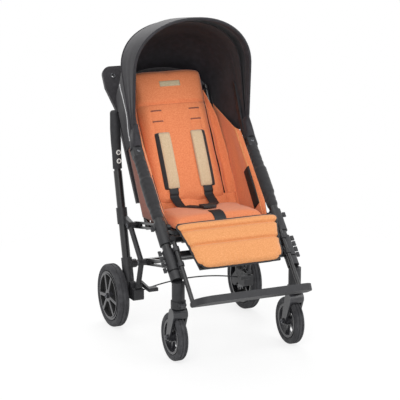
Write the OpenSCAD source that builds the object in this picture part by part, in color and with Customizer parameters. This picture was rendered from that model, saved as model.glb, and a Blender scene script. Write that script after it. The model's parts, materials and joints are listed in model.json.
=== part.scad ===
// Folding buggy for a child who needs postural support.
// Side-plane points are pairs [f, z]: f runs forward and z up, both from the floor
// midway between the axles. The buggy faces -Y, and its left side is +X.

/* [Wheels] */
// Outer diameter of a rear wheel
rear_wheel_d = 240; // [230:1:250]
// Width of a rear tyre
rear_tyre_w = 42; // [36:1:46]
// Distance between the middles of the rear wheels
rear_track = 554; // [550:1:580]
// Outer diameter of a front wheel
front_wheel_d = 175; // [165:1:180]
// Width of a front tyre
front_tyre_w = 36; // [30:1:40]
// Distance between the middles of the front wheels
front_track = 462; // [460:1:470]
// Distance between the front and rear axles
wheelbase = 470; // [460:1:480]
// Distance by which a front wheel trails its swivel axis
trail = 33; // [28:1:38]

/* [Frame] */
// Diameter of the front frame tubes
front_tube_d = 34; // [30:1:36]
// Diameter of the rear frame tubes
rear_tube_d = 32; // [29:1:34]
// Wall of the frame tubes
tube_wall = 2.5; // [1.5:0.5:3]
// Diameter of the cross tubes
cross_tube_d = 25; // [22:1:27]
// Lean of the front tubes from upright, in degrees
front_lean = 42; // [41:0.5:43]
// Lean of the rear tubes from upright, in degrees
rear_lean = 13.8; // [13:0.2:14.6]
// Height of the upper end of the front tubes
front_tube_top = 700; // [695:1:710]
// Height of the upper end of the push handles
handle_top = 815; // [795:1:820]
// Thickness of a folding rail
rail_t = 12; // [8:1:12]
// Width of a folding rail
rail_w = 26; // [22:1:28]

/* [Seat] */
// Width of the seat cushion
seat_w = 376; // [350:1:380]
// Depth of the seat board
seat_depth = 232; // [220:1:236]
// Height of the seat cushion
seat_cushion_t = 44; // [38:1:48]
// Width of the back pad
back_pad_w = 312; // [290:1:330]
// Length of the back pad
back_pad_l = 544; // [530:1:552]
// Lean of the backrest from upright, in degrees
back_lean = 30; // [29:0.5:31]
// Thickness of the back shell
shell_t = 14; // [10:1:16]
// Width of the calf pad at its upper edge
calf_top_w = 424; // [400:1:430]
// Width of the calf pad at its lower edge
calf_w = 346; // [320:1:360]
// Length of the calf pad
calf_l = 206; // [195:1:212]

/* [Hood] */
// Width of the hood
hood_w = 472; // [470:1:480]
// Height of the hood over its pivots
hood_h = 446; // [440:1:452]
// Thickness of the hood cloth with its lining
hood_t = 4.5; // [3.5:0.5:5]

/* [Footrest] */
// Width of the footplate
footplate_w = 452; // [420:1:470]
// Depth of the footplate
footplate_l = 100; // [92:1:106]
// Thickness of the footplate
footplate_t = 24; // [18:1:26]

/* [Hidden] */
$fn = 48;

// Clearances, and the overrun of every cut
run_gap = 0.05;
fit_gap = 0.1;
skin_gap = 0.3;
part_gap = 0.5;
over = 2;

// Colours
frame_black = "#2a2a2c";
plastic_black = "#37373a";
rubber_grey = "#4a4a4d";
cloth_black = "#3a383c";
cloth_orange = "#ee8a52";
cloth_rust = "#8d5a4c";
pad_beige = "#b5a183";

// Wheels
rear_wheel_r = rear_wheel_d / 2;
front_wheel_r = front_wheel_d / 2;
rear_axle = [-wheelbase / 2, rear_wheel_r];
front_axle = [wheelbase / 2, front_wheel_r];
rear_wheel_x = rear_track / 2;
rear_axle_d = 12;
front_axle_d = 10;
rear_tyre_h = 27;
front_tyre_h = 24;
tread_r = 13;
tyre_groove_w = 5;
tyre_groove_deep = 2;
rear_hub_d = 46;
front_hub_d = 34;
hub_proud = 2;
rim_lip = 9;
web_t = 12;
spoke_w = 9;
axle_head_d = 20;
axle_head_t = 5;
brake_ring_d = 84;
brake_ring_t = 5;
brake_notches = 12;
brake_notch_w = 9;
rear_windows = 3;
rear_window_spans = [72, 48];
front_windows = 5;

// Front legs
front_x = front_track / 2;
caster_f = front_axle[0] + trail;
leg_set = 12;
leg_z = 300;
leg_f = caster_f - leg_set;
function front_f(z) = leg_f - (z - leg_z) * tan(front_lean);
function front_pt(z) = [front_f(z), z];
front_up = [-sin(front_lean), cos(front_lean)];
front_out = [cos(front_lean), sin(front_lean)];
socket_d = 44;
socket_rise = 22;
socket_top = leg_z + socket_rise;

// Casters
crown_rise = 5;
crown_z = front_wheel_d + crown_rise;
crown_r = 22;
fork_gap = 5;
arm_t = 7;
arm_gap = 3;
arm_end_r = 14;
arm_in = front_tyre_w / 2 + arm_gap;
arm_out = arm_in + arm_t;
stem_d = 14;
stem_set = 28;
stem_top = leg_z - stem_set;
barrel_d = 46;
barrel_low = crown_z + crown_r + part_gap;
barrel_set = 4;
barrel_high = leg_z - barrel_set;
collar_d = 54;
collar_h = 26;
lock_w = 14;
lock_t = 8;
lock_l = 13;
lock_boss_d = 12;
lock_pin_d = 5;
lock_ear_w = 6;
lock_pt = [caster_f + collar_d / 2 + lock_t, barrel_low + collar_h - lock_t];

// Folding linkage: two equal, parallel rails on each side join the front and rear frames
upper_pivot_z = 455;
lower_pivot_z = 338;
knee = [-75, 282];
pivot_d = 10;
pivot_head_d = 18;
pivot_head_t = 3;
front_upper = front_pt(upper_pivot_z);
front_lower = front_pt(lower_pivot_z);
rear_lower = knee;
rear_upper = front_upper + rear_lower - front_lower;
rail_gap = 4;
rail_x = front_x - front_tube_d / 2 - rail_gap - rail_t / 2;
rail_slot_share = 0.62;
rail_slot_w = 8;
rail_step = 1.5;
boss_d = 24;
boss_proud = 1.5;
boss_x = rail_x + rail_t / 2 + part_gap;
pin_end_x = rail_x - rail_t / 2 - part_gap;

// Clamps on the front tubes
clamp_d = 45;
clamp_half = 19;
clamp_gap = 4;
leg_clamp_low = socket_top + clamp_gap;
leg_clamp_high = 386;
seat_bar_z = 418;
seat_bar = front_pt(seat_bar_z);
low_bar_z = 372;
low_bar = front_pt(low_bar_z);
bar_socket_wall = 4;
bar_socket_d = cross_tube_d + 2 * bar_socket_wall;
bar_socket_l = 14;
bar_half = front_x - front_tube_d / 2 - fit_gap - part_gap;
screw_d = 8;
screw_l = 5;
wing_w = 18;
wing_l = 11;
wing_t = 6;
wing_shares = [0.08, 0.36, 0.64, 0.92];

// Footrest
hanger_d = 16;
hanger_in = 20;
hanger_x = front_x - hanger_in;
hanger_out = 28;
hanger_top = 400;
hanger_low = 215;
function hanger_pt(z) = front_pt(z) + hanger_out * front_out;
guide_d = 24;
guide_l = 16;
guide_web_t = 9;
guide_web_in = 6;
guide_shares = [0.12, 0.88];
foot_hinge = hanger_pt(hanger_low);
foot_tilt = 25;
foot_fold = 45;
hinge_d = 18;
hinge_pin_d = 8;
hinge_l = 22;
foot_ear_t = 10;
foot_ear_r = 8.2;
foot_corner_r = 56;
foot_rim_w = 15;
foot_floor_t = 6;
foot_ribs = 7;
foot_rib_w = 8;
foot_rib_h = 4;

// Seat
rail_tube_d = 22;
seat_rail_x = 150;
back_pivot = [-120, 403];
back_disc_d = 40;
back_disc_t = 12;
rail_stop = 14;
rail_ring_l = 28;
back_pin_d = 10;
seat_tilt = atan2(back_pivot[1] - seat_bar[1], seat_bar[0] - back_pivot[0]);
board_t = 14;
board_w = 372;
board_set = bar_socket_d / 2 + over;
board_corner_r = 24;
board_z = rail_tube_d / 2 + skin_gap;
cushion_set = 8;
cushion_z = board_z + board_t + skin_gap;
cushion_l = seat_depth + board_set - cushion_set;

// Calf panel
calf_lean = 45;
calf_down = [sin(calf_lean), -cos(calf_lean)];
calf_face = [cos(calf_lean), sin(calf_lean)];
calf_set = [5, 53];
calf_top = seat_bar + calf_set;
calf_board_t = 8;
calf_pad_t = 24;
calf_margin = 14;
calf_arm_x = 110;
calf_arm_t = 16;
calf_reach = (calf_top - seat_bar) * calf_face;
calf_row_shares = [0.2, 0.5];

// Backrest, drawn upright over its pivot and then leant back
back_tube_d = 22;
back_bar_d = 18;
back_tube_x = 180;
back_tube_low = -10;
back_tube_top = 540;
back_bar_set = 20;
back_bar_out = 1.6;
pad_low = 60;
pad_seat = back_tube_d / 2 + skin_gap;
pad_t_low = 35.7;
pad_t_top = 59.7;
pad_wedge = atan((pad_t_top - pad_t_low) / back_pad_l);
back_row_share = 0.728;
shell_low = 100;
shell_top = 648;
shell_low_half = 199;
shell_mid_half = 203;
shell_top_half = 228;
shell_mid = 470;
shell_flare = 565;
shell_corner_r = 34;
shell_rib_t = 5;
shell_ribs = [180, 290, 400, 510];
eyelet_d = 12;
eyelet_in = 40;

// Pads: how the mesh is divided and how the stuffing is shaped
pad_columns = 20;
pad_rows = 24;
pad_spacing = 0.75;
edge_share = 0.5;
edge_power = 5;
corner_share = 0.06;
corner_power = 6;
side_draw = 6;
channel_deep = 5;
channel_w = 16;

// Harness
shoulder_x = 70;
shoulder_w = 56;
shoulder_l = 220;
shoulder_t = 13;
shoulder_low = 62;
strap_w = 38;
strap_t = 3;
strap_low = 8;
belt_back = 62;
belt_half = 130;
crotch_w = 46;
crotch_l = 62;
crotch_set = 40;

// Covers on the front tubes and at the seat's sides
sleeve_t = 4;
hem_t = 8;
sleeve_set = 28;
sleeve_stop = 12;
sleeve_low = upper_pivot_z + sleeve_set;
sleeve_high = front_tube_top - sleeve_stop;
hem_low = 524;
hem_high = 606;
panel_t = 2.5;
panel_x = back_tube_x + back_tube_d / 2 + skin_gap + panel_t / 2;
panel_low = 474;
panel_high = sleeve_high;
panel_back_low = 441;
panel_back_high = 800;
function back_pt(z) = [back_pivot[0] - (z - back_pivot[1]) * tan(back_lean), z];
tab_low = 540;
tab_high = 596;
tab_w = 8;
tab_x = front_x - front_tube_d / 2 - hem_t - skin_gap;

// Hood, turned about pivots on the ends of the front tubes
hood_rise = 36;
hood_pivot = front_pt(front_tube_top) + hood_rise * front_up;
hood_half = hood_w / 2;
hood_pin_d = 10;
hood_boss_d = 34;
hood_cap_t = 6;
tongue_t = 9;
tongue_x = hood_half - hood_t - part_gap - tongue_t / 2;
plug_l = 30;
hood_arch = 150;
hood_power = 2.4;
hood_steps = 12;
hood_nest = 1.5;
hood_front_angle = -4;
hood_split_angle = 22;
hood_lap_angle = 4;
hood_rings = 8;
hood_bulge = 26;
hood_back_low = 300;
hood_back_top = 630;
hood_back_gap = 9;
hood_rear_start = 24;
hood_taper_share = 0.126;
bow_arm_r = 8;
bow_arm_l = 190;
bow_arm_angle = 24;
bow_arm_t = 7;
bow_back_share = 0.147;
bow_arm_x = (hood_half - 2 * hood_t - hood_nest)
    * (1 - hood_taper_share * bow_back_share * (2 - bow_back_share)) - skin_gap - bow_arm_t / 2;

// Rear frame
foot_set = 55;
foot_rise = 48;
wheel_gap = 6;
rear_x = rear_wheel_x - rear_tyre_w / 2 - wheel_gap - rear_tube_d / 2;
rear_foot = rear_axle + [foot_set, foot_rise];
function rear_f(z) = rear_foot[0] - (z - rear_foot[1]) * tan(rear_lean);
function rear_pt(z) = [rear_f(z), z];
bend_z = 588;
grip_lean = 7.2;
function grip_pt(z) = [rear_f(bend_z) - (z - bend_z) * tan(grip_lean), z];
handle_tube_d = 26;
grip_d = 39;
grip_neck_d = 35;
grip_end_d = 33;
grip_end = 12;
grip_shares = [0, 0.28, 0.5, 0.72, 1];
grip_out = [cos(grip_lean), sin(grip_lean)];
grip_bolt_d = 14;
grip_bolt_t = 3;
grip_bolt_shares = [0.13, 0.27];
ring_wall = 4.5;
ring_d = rear_tube_d + 2 * ring_wall;
strut_d = 20;
strut_in = 7;
strut_x = rear_x - strut_in;
strut_ring_h = 60;
strut_ring_rise = 54;
strut_ring_top = rear_upper[1] + strut_ring_rise;
strut_arm_t = 16;
bracket_drop = 12;
bracket_low = rear_foot[1] - bracket_drop;
bracket_high = 270;
rear_bar_z = 246;
rear_bar = rear_pt(rear_bar_z);
rear_bar_half = rear_x - rear_tube_d / 2 - fit_gap - part_gap;
bracket_t = 12;
bracket_r = 22;
bracket_out = 3;
bracket_x = rear_x + bracket_out;
hub_x = rear_wheel_x - rear_tyre_w / 2 - hub_proud;

// Parking brake
brake_set = [107, 30];
brake_pt = rear_axle + brake_set;
brake_size = [40, 60, 44];
brake_in = 6;
brake_x = rear_x - brake_in;
brake_r = 9;
foot_d = 24;
strut_foot = brake_pt + [brake_size[1] / 3, brake_size[2] / 2 + foot_d / 2 + skin_gap];
pedal_set = 12;
pedal_pin = brake_pt + [-pedal_set, brake_size[2] / 2 + pedal_set];
pedal_pin_d = 8;
pedal_boss_d = 18;
pedal_t = 9;
pedal_x = brake_x - brake_size[0] / 2 - part_gap - pedal_t / 2;
pedal_reach = [76, -6];
pedal_pad_w = 36;
pedal_pad_l = 32;
pedal_pad_t = 7;
cable_d = 5;
cable_rise = 26;
cable_set = [8, 10];
cable_pt = brake_pt + cable_set;
cable_half = brake_x - brake_size[0] / 2 - part_gap - part_gap;
cable_r = (pow(cable_half, 2) + pow(cable_rise, 2)) / (2 * cable_rise);

// The origin lies on the floor under the middle of the whole buggy
front_reach = foot_hinge[0] + footplate_l * cos(foot_tilt) + footplate_t / 2 * sin(foot_tilt);
shell_back = back_tube_d / 2 + skin_gap + shell_t;
rear_reach = -back_pivot[0] + shell_top * sin(back_lean) + shell_back * cos(back_lean);
origin_f = (front_reach - rear_reach) / 2;

module placed() translate([0, origin_f, 0]) children();

module on_side(s) if (s < 0) mirror([1, 0, 0]) children(); else children();

module at(x, p) translate([x, -p[0], p[1]]) children();

// Turns what stands upright to run from p to q in the side plane
module along(x, p, q) at(x, p) rotate([atan2(q[0] - p[0], q[1] - p[1]), 0, 0]) children();

// A round bar in the side plane, from p to q
module bar(x, p, q, d) along(x, p, q) cylinder(h = norm(q - p), d = d);

// A round bar along X
module across(x0, x1, p, d) at(x0, p) rotate([0, 90, 0]) cylinder(h = x1 - x0, d = d);

module ball(x, p, d) at(x, p) sphere(d = d);

// A flat shape drawn as [f, z], given a thickness along X
module side_plate(x, t) translate([x + t / 2, 0, 0]) rotate([90, 0, -90]) linear_extrude(t) children();

// Two discs joined by their outer tangents
module link(p, q, r1, r2) {
    turn = atan2(q[1] - p[1], q[0] - p[0]);
    open = acos((r1 - r2) / norm(q - p));
    translate(p) circle(r1);
    translate(q) circle(r2);
    polygon([for (e = [[p, r1, 1], [q, r2, 1], [q, r2, -1], [p, r1, -1]])
        e[0] + e[1] * [cos(turn + e[2] * open), sin(turn + e[2] * open)]]);
}

module rounded(w, h, r) {
    square([w - 2 * r, h], center = true);
    square([w, h - 2 * r], center = true);
    for (i = [-1, 1], j = [-1, 1]) translate([i * (w / 2 - r), j * (h / 2 - r)]) circle(r);
}

// A disc turned about the X axis from a profile of [radius, across]
module turned(x, p) at(x, p) rotate([0, 90, 0]) rotate_extrude($fn = 72) children();

// A stuffed pad: flat below, crowned above, drawn in along its sides, with sewn channels across it.
// w0 and w1 are its widths at the two ends, t0 and t1 its heights there.
function pad_edge(u) = pow(1 - pow(abs(u), edge_power), 2 / edge_power);
function spaced(k, n) = let (u = 2 * k / n - 1) sign(u) * pow(abs(u), pad_spacing);
function channel_dip(y, rows) = len(rows) == 0 ? 0 : max([for (c = rows) max(0, 1 - abs(y - c) / channel_w)]);
function pad_pt(i, j, l, w0, w1, t0, t1, rows, top) =
    let (u = spaced(i, pad_columns), v = spaced(j, pad_rows), y = (v + 1) / 2 * l)
    let (half = (w0 + (w1 - w0) * y / l) / 2 - side_draw * (1 - v * v))
    let (corner = 1 - corner_share * pow(abs(u * v), corner_power))
    let (rise = pad_edge(u) * pad_edge(v), t = t0 + (t1 - t0) * y / l)
    let (z = t * (edge_share + (1 - edge_share) * rise) - channel_deep * channel_dip(y, rows) * rise)
    [u * half * corner, (y - l / 2) * corner + l / 2, top * z];
module pad(l, w0, w1, t0, t1, rows) {
    n = pad_columns + 1;
    lower = n * (pad_rows + 1);
    points = [for (top = [1, 0], j = [0:pad_rows], i = [0:pad_columns]) pad_pt(i, j, l, w0, w1, t0, t1,
        rows, top)];
    cells = [for (j = [0:pad_rows - 1], i = [0:pad_columns - 1]) j * n + i];
    rim = concat([for (i = [0:pad_columns - 1]) i], [for (j = [0:pad_rows - 1]) j * n + pad_columns],
        [for (i = [0:pad_columns - 1]) pad_rows * n + pad_columns - i],
            [for (j = [0:pad_rows - 1]) (pad_rows - j) * n]);
    edges = [for (k = [0:len(rim) - 1]) [rim[k], rim[(k + 1) % len(rim)]]];
    polyhedron(points, concat(
        [for (c = cells) [c, c + n, c + n + 1]], [for (c = cells) [c, c + n + 1, c + 1]],
        [for (c = cells) [c + lower, c + lower + n + 1, c + lower + n]],
        [for (c = cells) [c + lower, c + lower + 1, c + lower + n + 1]],
        [for (e = edges) [e[0], e[1], e[1] + lower]], [for (e = edges) [e[0], e[1] + lower, e[0] + lower]]));
}

// Front frame
module front_tube(s) color(frame_black) on_side(s) difference() {
    bar(front_x, front_pt(leg_z), front_pt(front_tube_top), front_tube_d);
    bar(front_x, front_pt(leg_z) - over * front_up, front_pt(front_tube_top) + over * front_up,
        front_tube_d - 2 * tube_wall);
}

// Moulded foot of a front leg: an upright barrel for the caster and a slanted socket for the tube
module caster_housing(s) color(plastic_black) on_side(s) difference() {
    union() {
        at(front_x, [caster_f, barrel_low]) cylinder(h = barrel_high - barrel_low, d = barrel_d);
        at(front_x, [caster_f, barrel_low]) cylinder(h = collar_h, d = collar_d);
        bar(front_x, front_pt(leg_z) - tube_wall * front_up, front_pt(socket_top), socket_d);
        for (e = [-1, 1]) side_plate(front_x + e * (lock_w / 2 + part_gap + lock_ear_w / 2), lock_ear_w)
            link([caster_f, lock_pt[1]], lock_pt, lock_t, lock_t * 3 / 4);
        across(front_x - lock_w, front_x + lock_w, lock_pt, lock_pin_d);
    }
    bar(front_x, front_pt(leg_z) - skin_gap * front_up, front_pt(socket_top) + over * front_up,
        front_tube_d + 2 * fit_gap);
    at(front_x, [caster_f, barrel_low - over])
        cylinder(h = stem_top - barrel_low + over + skin_gap, d = stem_d + 2 * run_gap);
}

module wing_screw(p) {
    across(front_x, front_x + clamp_d / 2 + screw_l + over, p, screw_d);
    side_plate(front_x + clamp_d / 2 + screw_l + wing_l / 2, wing_l)
        translate(p) rotate(front_lean) square([wing_t, wing_w], center = true);
}

// Ring in which the foot hanger slides, on a web from the front tube's clamp
module hanger_guide(z) difference() {
    union() {
        bar(hanger_x, hanger_pt(z) - guide_l / 2 * front_up, hanger_pt(z) + guide_l / 2 * front_up, guide_d);
        side_plate(hanger_x + guide_web_in, guide_web_t) polygon([for (e = [[0, -1], [1, -1], [1, 1], [0, 1]])
            front_pt(z) + e[0] * hanger_out * front_out + e[1] * guide_web_t / 2 * front_up]);
    }
    bar(hanger_x, hanger_pt(z) - guide_l * front_up, hanger_pt(z) + guide_l * front_up,
        hanger_d + 2 * run_gap);
}

// Two clamps on each front tube: the lower guides the foot hanger, the upper carries the seat,
// and both hold the pivots of the folding rails
module leg_clamp(s) color(plastic_black) on_side(s) difference() {
    union() {
        bar(front_x, front_pt(leg_clamp_low), front_pt(leg_clamp_high), clamp_d);
        bar(front_x, front_pt(seat_bar_z) - clamp_half * front_up,
            front_pt(upper_pivot_z) + clamp_half * front_up, clamp_d);
        for (p = [front_upper, front_lower]) {
            across(boss_x, front_x, p, boss_d);
            across(pin_end_x - pivot_head_t, front_x, p, pivot_d);
            across(pin_end_x - pivot_head_t, pin_end_x, p, pivot_head_d);
        }
        for (p = [seat_bar, low_bar]) across(front_x - clamp_d / 2 - bar_socket_l, front_x, p, bar_socket_d);
        for (k = guide_shares) hanger_guide(leg_clamp_low + k * (leg_clamp_high - leg_clamp_low));
        for (k = wing_shares) wing_screw(front_pt(leg_clamp_low + k * (leg_clamp_high - leg_clamp_low)));
        wing_screw(front_upper);
    }
    bar(front_x, front_pt(leg_clamp_low) - clamp_d * front_up, front_pt(upper_pivot_z) + clamp_d * front_up,
        front_tube_d + 2 * fit_gap);
    for (p = [seat_bar, low_bar]) across(front_x - clamp_d / 2 - bar_socket_l - over, front_x, p,
        cross_tube_d + 2 * fit_gap);
}

module cross_tube(p, half) difference() {
    across(-half, half, p, cross_tube_d);
    across(-half - over, half + over, p, cross_tube_d - 2 * tube_wall);
}
module seat_crossbar() color(frame_black) cross_tube(seat_bar, bar_half);
module lower_crossbar() color(frame_black) cross_tube(low_bar, bar_half);

// Seat
module seat_rail(s) color(frame_black) on_side(s) difference() {
    rail_end = back_pivot + rail_stop * (seat_bar - back_pivot) / norm(seat_bar - back_pivot);
    union() {
        bar(seat_rail_x, seat_bar, rail_end, rail_tube_d);
        across(seat_rail_x - rail_ring_l / 2, seat_rail_x + rail_ring_l / 2, seat_bar, bar_socket_d);
        across(seat_rail_x - back_disc_t / 2, seat_rail_x + back_disc_t / 2, back_pivot, back_disc_d);
    }
    across(seat_rail_x - rail_tube_d, seat_rail_x + rail_tube_d, seat_bar, cross_tube_d + 2 * fit_gap);
    across(seat_rail_x - rail_tube_d, seat_rail_x + rail_tube_d, back_pivot, back_pin_d + 2 * run_gap);
}

// Places what is drawn on the seat: y runs back from the front cross tube, z up off the rails
module on_seat() at(0, seat_bar) rotate([seat_tilt, 0, 0]) children();
module seat_board() color(plastic_black) on_seat() translate([0, board_set + seat_depth / 2, board_z])
    linear_extrude(board_t) rounded(board_w, seat_depth, board_corner_r);
module seat_cushion() color(cloth_orange) on_seat() translate([0, cushion_set, cushion_z])
    pad(cushion_l, seat_w, seat_w, seat_cushion_t, seat_cushion_t, []);

// Places what is drawn on the calf panel: y runs down it from the seat's front edge, z out of its face
module on_calf() at(0, calf_top) rotate([90 - calf_lean, 0, 0]) rotate(180) children();
module calf_board() color(plastic_black) difference() {
    union() {
        on_calf() linear_extrude(calf_board_t) polygon([[-board_w / 2, 0], [board_w / 2, 0],
            [calf_w / 2 - calf_margin, calf_l - calf_margin], [-calf_w / 2 + calf_margin,
                calf_l - calf_margin]]);
        for (s = [-1, 1]) side_plate(s * calf_arm_x, calf_arm_t)
            link(seat_bar, seat_bar + calf_reach * calf_face, bar_socket_d / 2, calf_board_t / 2);
    }
    across(-calf_arm_x - calf_arm_t, calf_arm_x + calf_arm_t, seat_bar, cross_tube_d + 2 * fit_gap);
}
module calf_pad() color(cloth_orange) on_calf() translate([0, 0, calf_board_t + skin_gap])
    pad(calf_l, calf_top_w, calf_w, calf_pad_t, calf_pad_t, calf_row_shares * calf_l);

// Soft cover of a front tube, with a wide hem round its middle
module tube_sleeve(s) color(cloth_black) on_side(s) difference() {
    union() {
        bar(front_x, front_pt(sleeve_low), front_pt(sleeve_high), front_tube_d + 2 * sleeve_t);
        bar(front_x, front_pt(hem_low), front_pt(hem_high), front_tube_d + 2 * hem_t);
    }
    bar(front_x, front_pt(sleeve_low) - over * front_up, front_pt(sleeve_high) + over * front_up,
        front_tube_d + 2 * skin_gap);
}
// Cloth wing from the back tube to the front tube, sewn to the hem of its sleeve by a tab
module side_panel(s) color(cloth_rust) on_side(s) {
    side_plate(panel_x, panel_t) polygon([front_pt(panel_low), front_pt(panel_high), back_pt(panel_back_high),
        back_pt(panel_back_low)]);
    side_plate((panel_x + tab_x) / 2, tab_x - panel_x) polygon([for (e = [[tab_low, -1], [tab_high, -1],
        [tab_high, 1], [tab_low, 1]]) front_pt(e[0]) + e[1] * tab_w / 2 * front_out]);
}

// Harness
module lap_belt() color(cloth_black) on_seat() translate([0, cushion_set + cushion_l - belt_back,
    cushion_z + seat_cushion_t])
    linear_extrude(strap_t) square([2 * belt_half, strap_w], center = true);
module crotch_strap() color(cloth_black) on_seat() translate([0, cushion_set + crotch_set,
    cushion_z + seat_cushion_t])
    linear_extrude(strap_t) square([crotch_w, crotch_l], center = true);

// Places what is drawn on the backrest: y runs back and z up from its pivot
module on_back() at(0, back_pivot) rotate([-back_lean, 0, 0]) children();
module on_back_pad() on_back() translate([0, -pad_seat - pad_t_low - skin_gap, pad_low])
    rotate([90 + pad_wedge, 0, 0]) children();
module shoulder_pads() color(pad_beige) on_back_pad() for (s = [-1, 1])
    translate([s * shoulder_x, shoulder_low + shoulder_l / 2, 0]) linear_extrude(shoulder_t)
        rounded(shoulder_w, shoulder_l, shoulder_t / 2);
module shoulder_straps() color(cloth_black) on_back_pad() for (s = [-1, 1])
    translate([s * shoulder_x - strap_w / 2, strap_low, 0])
        cube([strap_w, shoulder_low - skin_gap - strap_low, strap_t]);

// Backrest
module back_frame() color(frame_black) {
    on_back() for (s = [-1, 1])
        translate([s * back_tube_x, 0, back_tube_low]) cylinder(h = back_tube_top - back_tube_low,
            d = back_tube_d);
    on_back() translate([-back_tube_x, -back_bar_out, back_tube_top - back_bar_set]) rotate([0, 90, 0])
        cylinder(h = 2 * back_tube_x, d = back_bar_d);
    for (s = [-1, 1]) on_side(s) across(seat_rail_x - back_disc_t / 2 - over, back_tube_x, back_pivot,
        back_pin_d);
}
shell_half = [[shell_low_half, shell_low], [shell_mid_half, shell_mid], [shell_top_half, shell_flare],
    [shell_top_half, shell_top - shell_corner_r], [shell_top_half - shell_corner_r, shell_top]];
module shell_outline() {
    polygon(concat(shell_half, [for (k = [len(shell_half) - 1:-1:0]) [-shell_half[k][0], shell_half[k][1]]]));
    for (s = [-1, 1]) translate([s * (shell_top_half - shell_corner_r), shell_top - shell_corner_r])
        circle(shell_corner_r);
}
module back_shell() color(cloth_black) on_back() translate([0, back_tube_d / 2 + skin_gap, 0]) difference() {
    union() {
        translate([0, shell_t, 0]) rotate([90, 0, 0]) linear_extrude(shell_t) shell_outline();
        for (z = shell_ribs) translate([-shell_low_half + shell_corner_r, shell_t, z]) rotate([0, 90, 0])
            cylinder(h = 2 * (shell_low_half - shell_corner_r), r = shell_rib_t);
    }
    for (s = [-1, 1]) translate([s * (shell_top_half - eyelet_in), -over, shell_top - eyelet_in])
        rotate([-90, 0, 0])
        cylinder(h = shell_t + 2 * over, d = eyelet_d);
}
module back_pad() color(cloth_orange) on_back() translate([0, -pad_seat, pad_low]) rotate([90, 0, 0])
    pad(back_pad_l, back_pad_w, back_pad_w, pad_t_low, pad_t_top, [back_row_share * back_pad_l]);

// Hood: an arched profile turned about the line through its pivots
function arch(half, top, start) = concat([[start, -half]],
    [for (k = [-hood_steps:hood_steps]) let (a = 90 * (1 - abs(k) / hood_steps))
        [top - hood_arch + hood_arch * pow(sin(a), 2 / hood_power), sign(k) * half * pow(cos(a),
            2 / hood_power)]],
    [[start, half]]);
module hood_wall(half, top, start, a0, a1) at(0, hood_pivot) rotate([0, 90, 0]) rotate(180 - a1)
    rotate_extrude(angle = a1 - a0, $fn = 96) polygon(concat(arch(half, top, start),
        [for (k = [2 * hood_steps + 2:-1:0]) arch(half - hood_t, top - hood_t, start)[k]]));
module hood_front() color(cloth_black) difference() {
    union() {
        hood_wall(hood_half, hood_h, hood_pin_d, hood_front_angle, hood_split_angle);
        for (s = [-1, 1]) on_side(s) across(hood_half - hood_t, hood_half, hood_pivot, hood_boss_d);
    }
    across(-hood_half - over, hood_half + over, hood_pivot, hood_pin_d + 2 * run_gap);
}

// Fixed part of the hood: a skin stretched from an arch inside the moving part back to the face of the
// back shell
hood_rear_half = hood_half - hood_t - hood_nest;
hood_rear_h = hood_h - hood_t - hood_nest;
back_up = [-sin(back_lean), cos(back_lean)];
back_out = [cos(back_lean), sin(back_lean)];
function hood_ring(half, top, share) = let (front = arch(half, top, hood_rear_start))
    let (a = hood_split_angle - hood_lap_angle, bulge = hood_bulge * sin(180 * share))
    [for (p = front)
        let (from = hood_pivot + p[0] * [-sin(a), cos(a)])
        let (up_share = (p[0] - hood_rear_start) / (hood_rear_h - hood_rear_start))
        let (rise = hood_back_low + (hood_back_top - hood_back_low) * up_share)
        let (to = back_pivot + rise * back_up - hood_back_gap * back_out, here = from + share * (to - from))
        let (out = (here - hood_pivot) / norm(here - hood_pivot) * bulge * p[0] / top)
        [p[1] * (1 - hood_taper_share * share * (2 - share)), -here[0] - out[0], here[1] + out[1]]];
module hood_rear() color(cloth_black) {
    n = 2 * hood_steps + 3;
    rings = hood_rings + 1;
    points = [for (skin = [0, hood_t], k = [0:hood_rings])
        each hood_ring(hood_rear_half - skin, hood_rear_h - skin, k / hood_rings)];
    inner = rings * n;
    cells = [for (k = [0:hood_rings - 1], i = [0:n - 2]) k * n + i];
    rims = concat([for (i = [0:n - 2]) [i, i + 1]], [for (i = [0:n - 2]) [hood_rings * n + i + 1,
        hood_rings * n + i]],
        [for (k = [0:hood_rings - 1]) [(k + 1) * n, k * n]],
        [for (k = [0:hood_rings - 1]) [k * n + n - 1, (k + 1) * n + n - 1]]);
    polyhedron(points, concat(
        [for (c = cells) each [[c, c + n, c + n + 1], [c, c + n + 1, c + 1]]],
        [for (c = cells) each [[c + inner, c + inner + n + 1, c + inner + n], [c + inner, c + inner + 1,
            c + inner + n + 1]]],
        [for (e = rims) each [[e[0], e[1], e[1] + inner], [e[0], e[1] + inner, e[0] + inner]]]));
}

// Plug in the end of a front tube, with the pivot of the hood and the stay of its rear bow
bow_end = hood_pivot + bow_arm_l * [-sin(bow_arm_angle), cos(bow_arm_angle)];
module hood_mount(s) color(plastic_black) on_side(s) {
    tube_end = front_pt(front_tube_top);
    bar(front_x, tube_end - plug_l * front_up, tube_end + hood_cap_t * front_up,
        front_tube_d - 2 * tube_wall - 2 * fit_gap);
    bar(front_x, tube_end + skin_gap * front_up, tube_end + hood_cap_t * front_up, front_tube_d);
    side_plate(tongue_x, tongue_t) link(tube_end + hood_cap_t * front_up, hood_pivot, hood_cap_t,
        hood_boss_d / 3);
    side_plate(bow_arm_x, bow_arm_t) link(hood_pivot, bow_end, hood_boss_d / 3, bow_arm_r);
    across(bow_arm_x, hood_half + part_gap + pivot_head_t, hood_pivot, hood_pin_d);
    across(hood_half + part_gap, hood_half + part_gap + pivot_head_t, hood_pivot, pivot_head_d);
}

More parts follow.
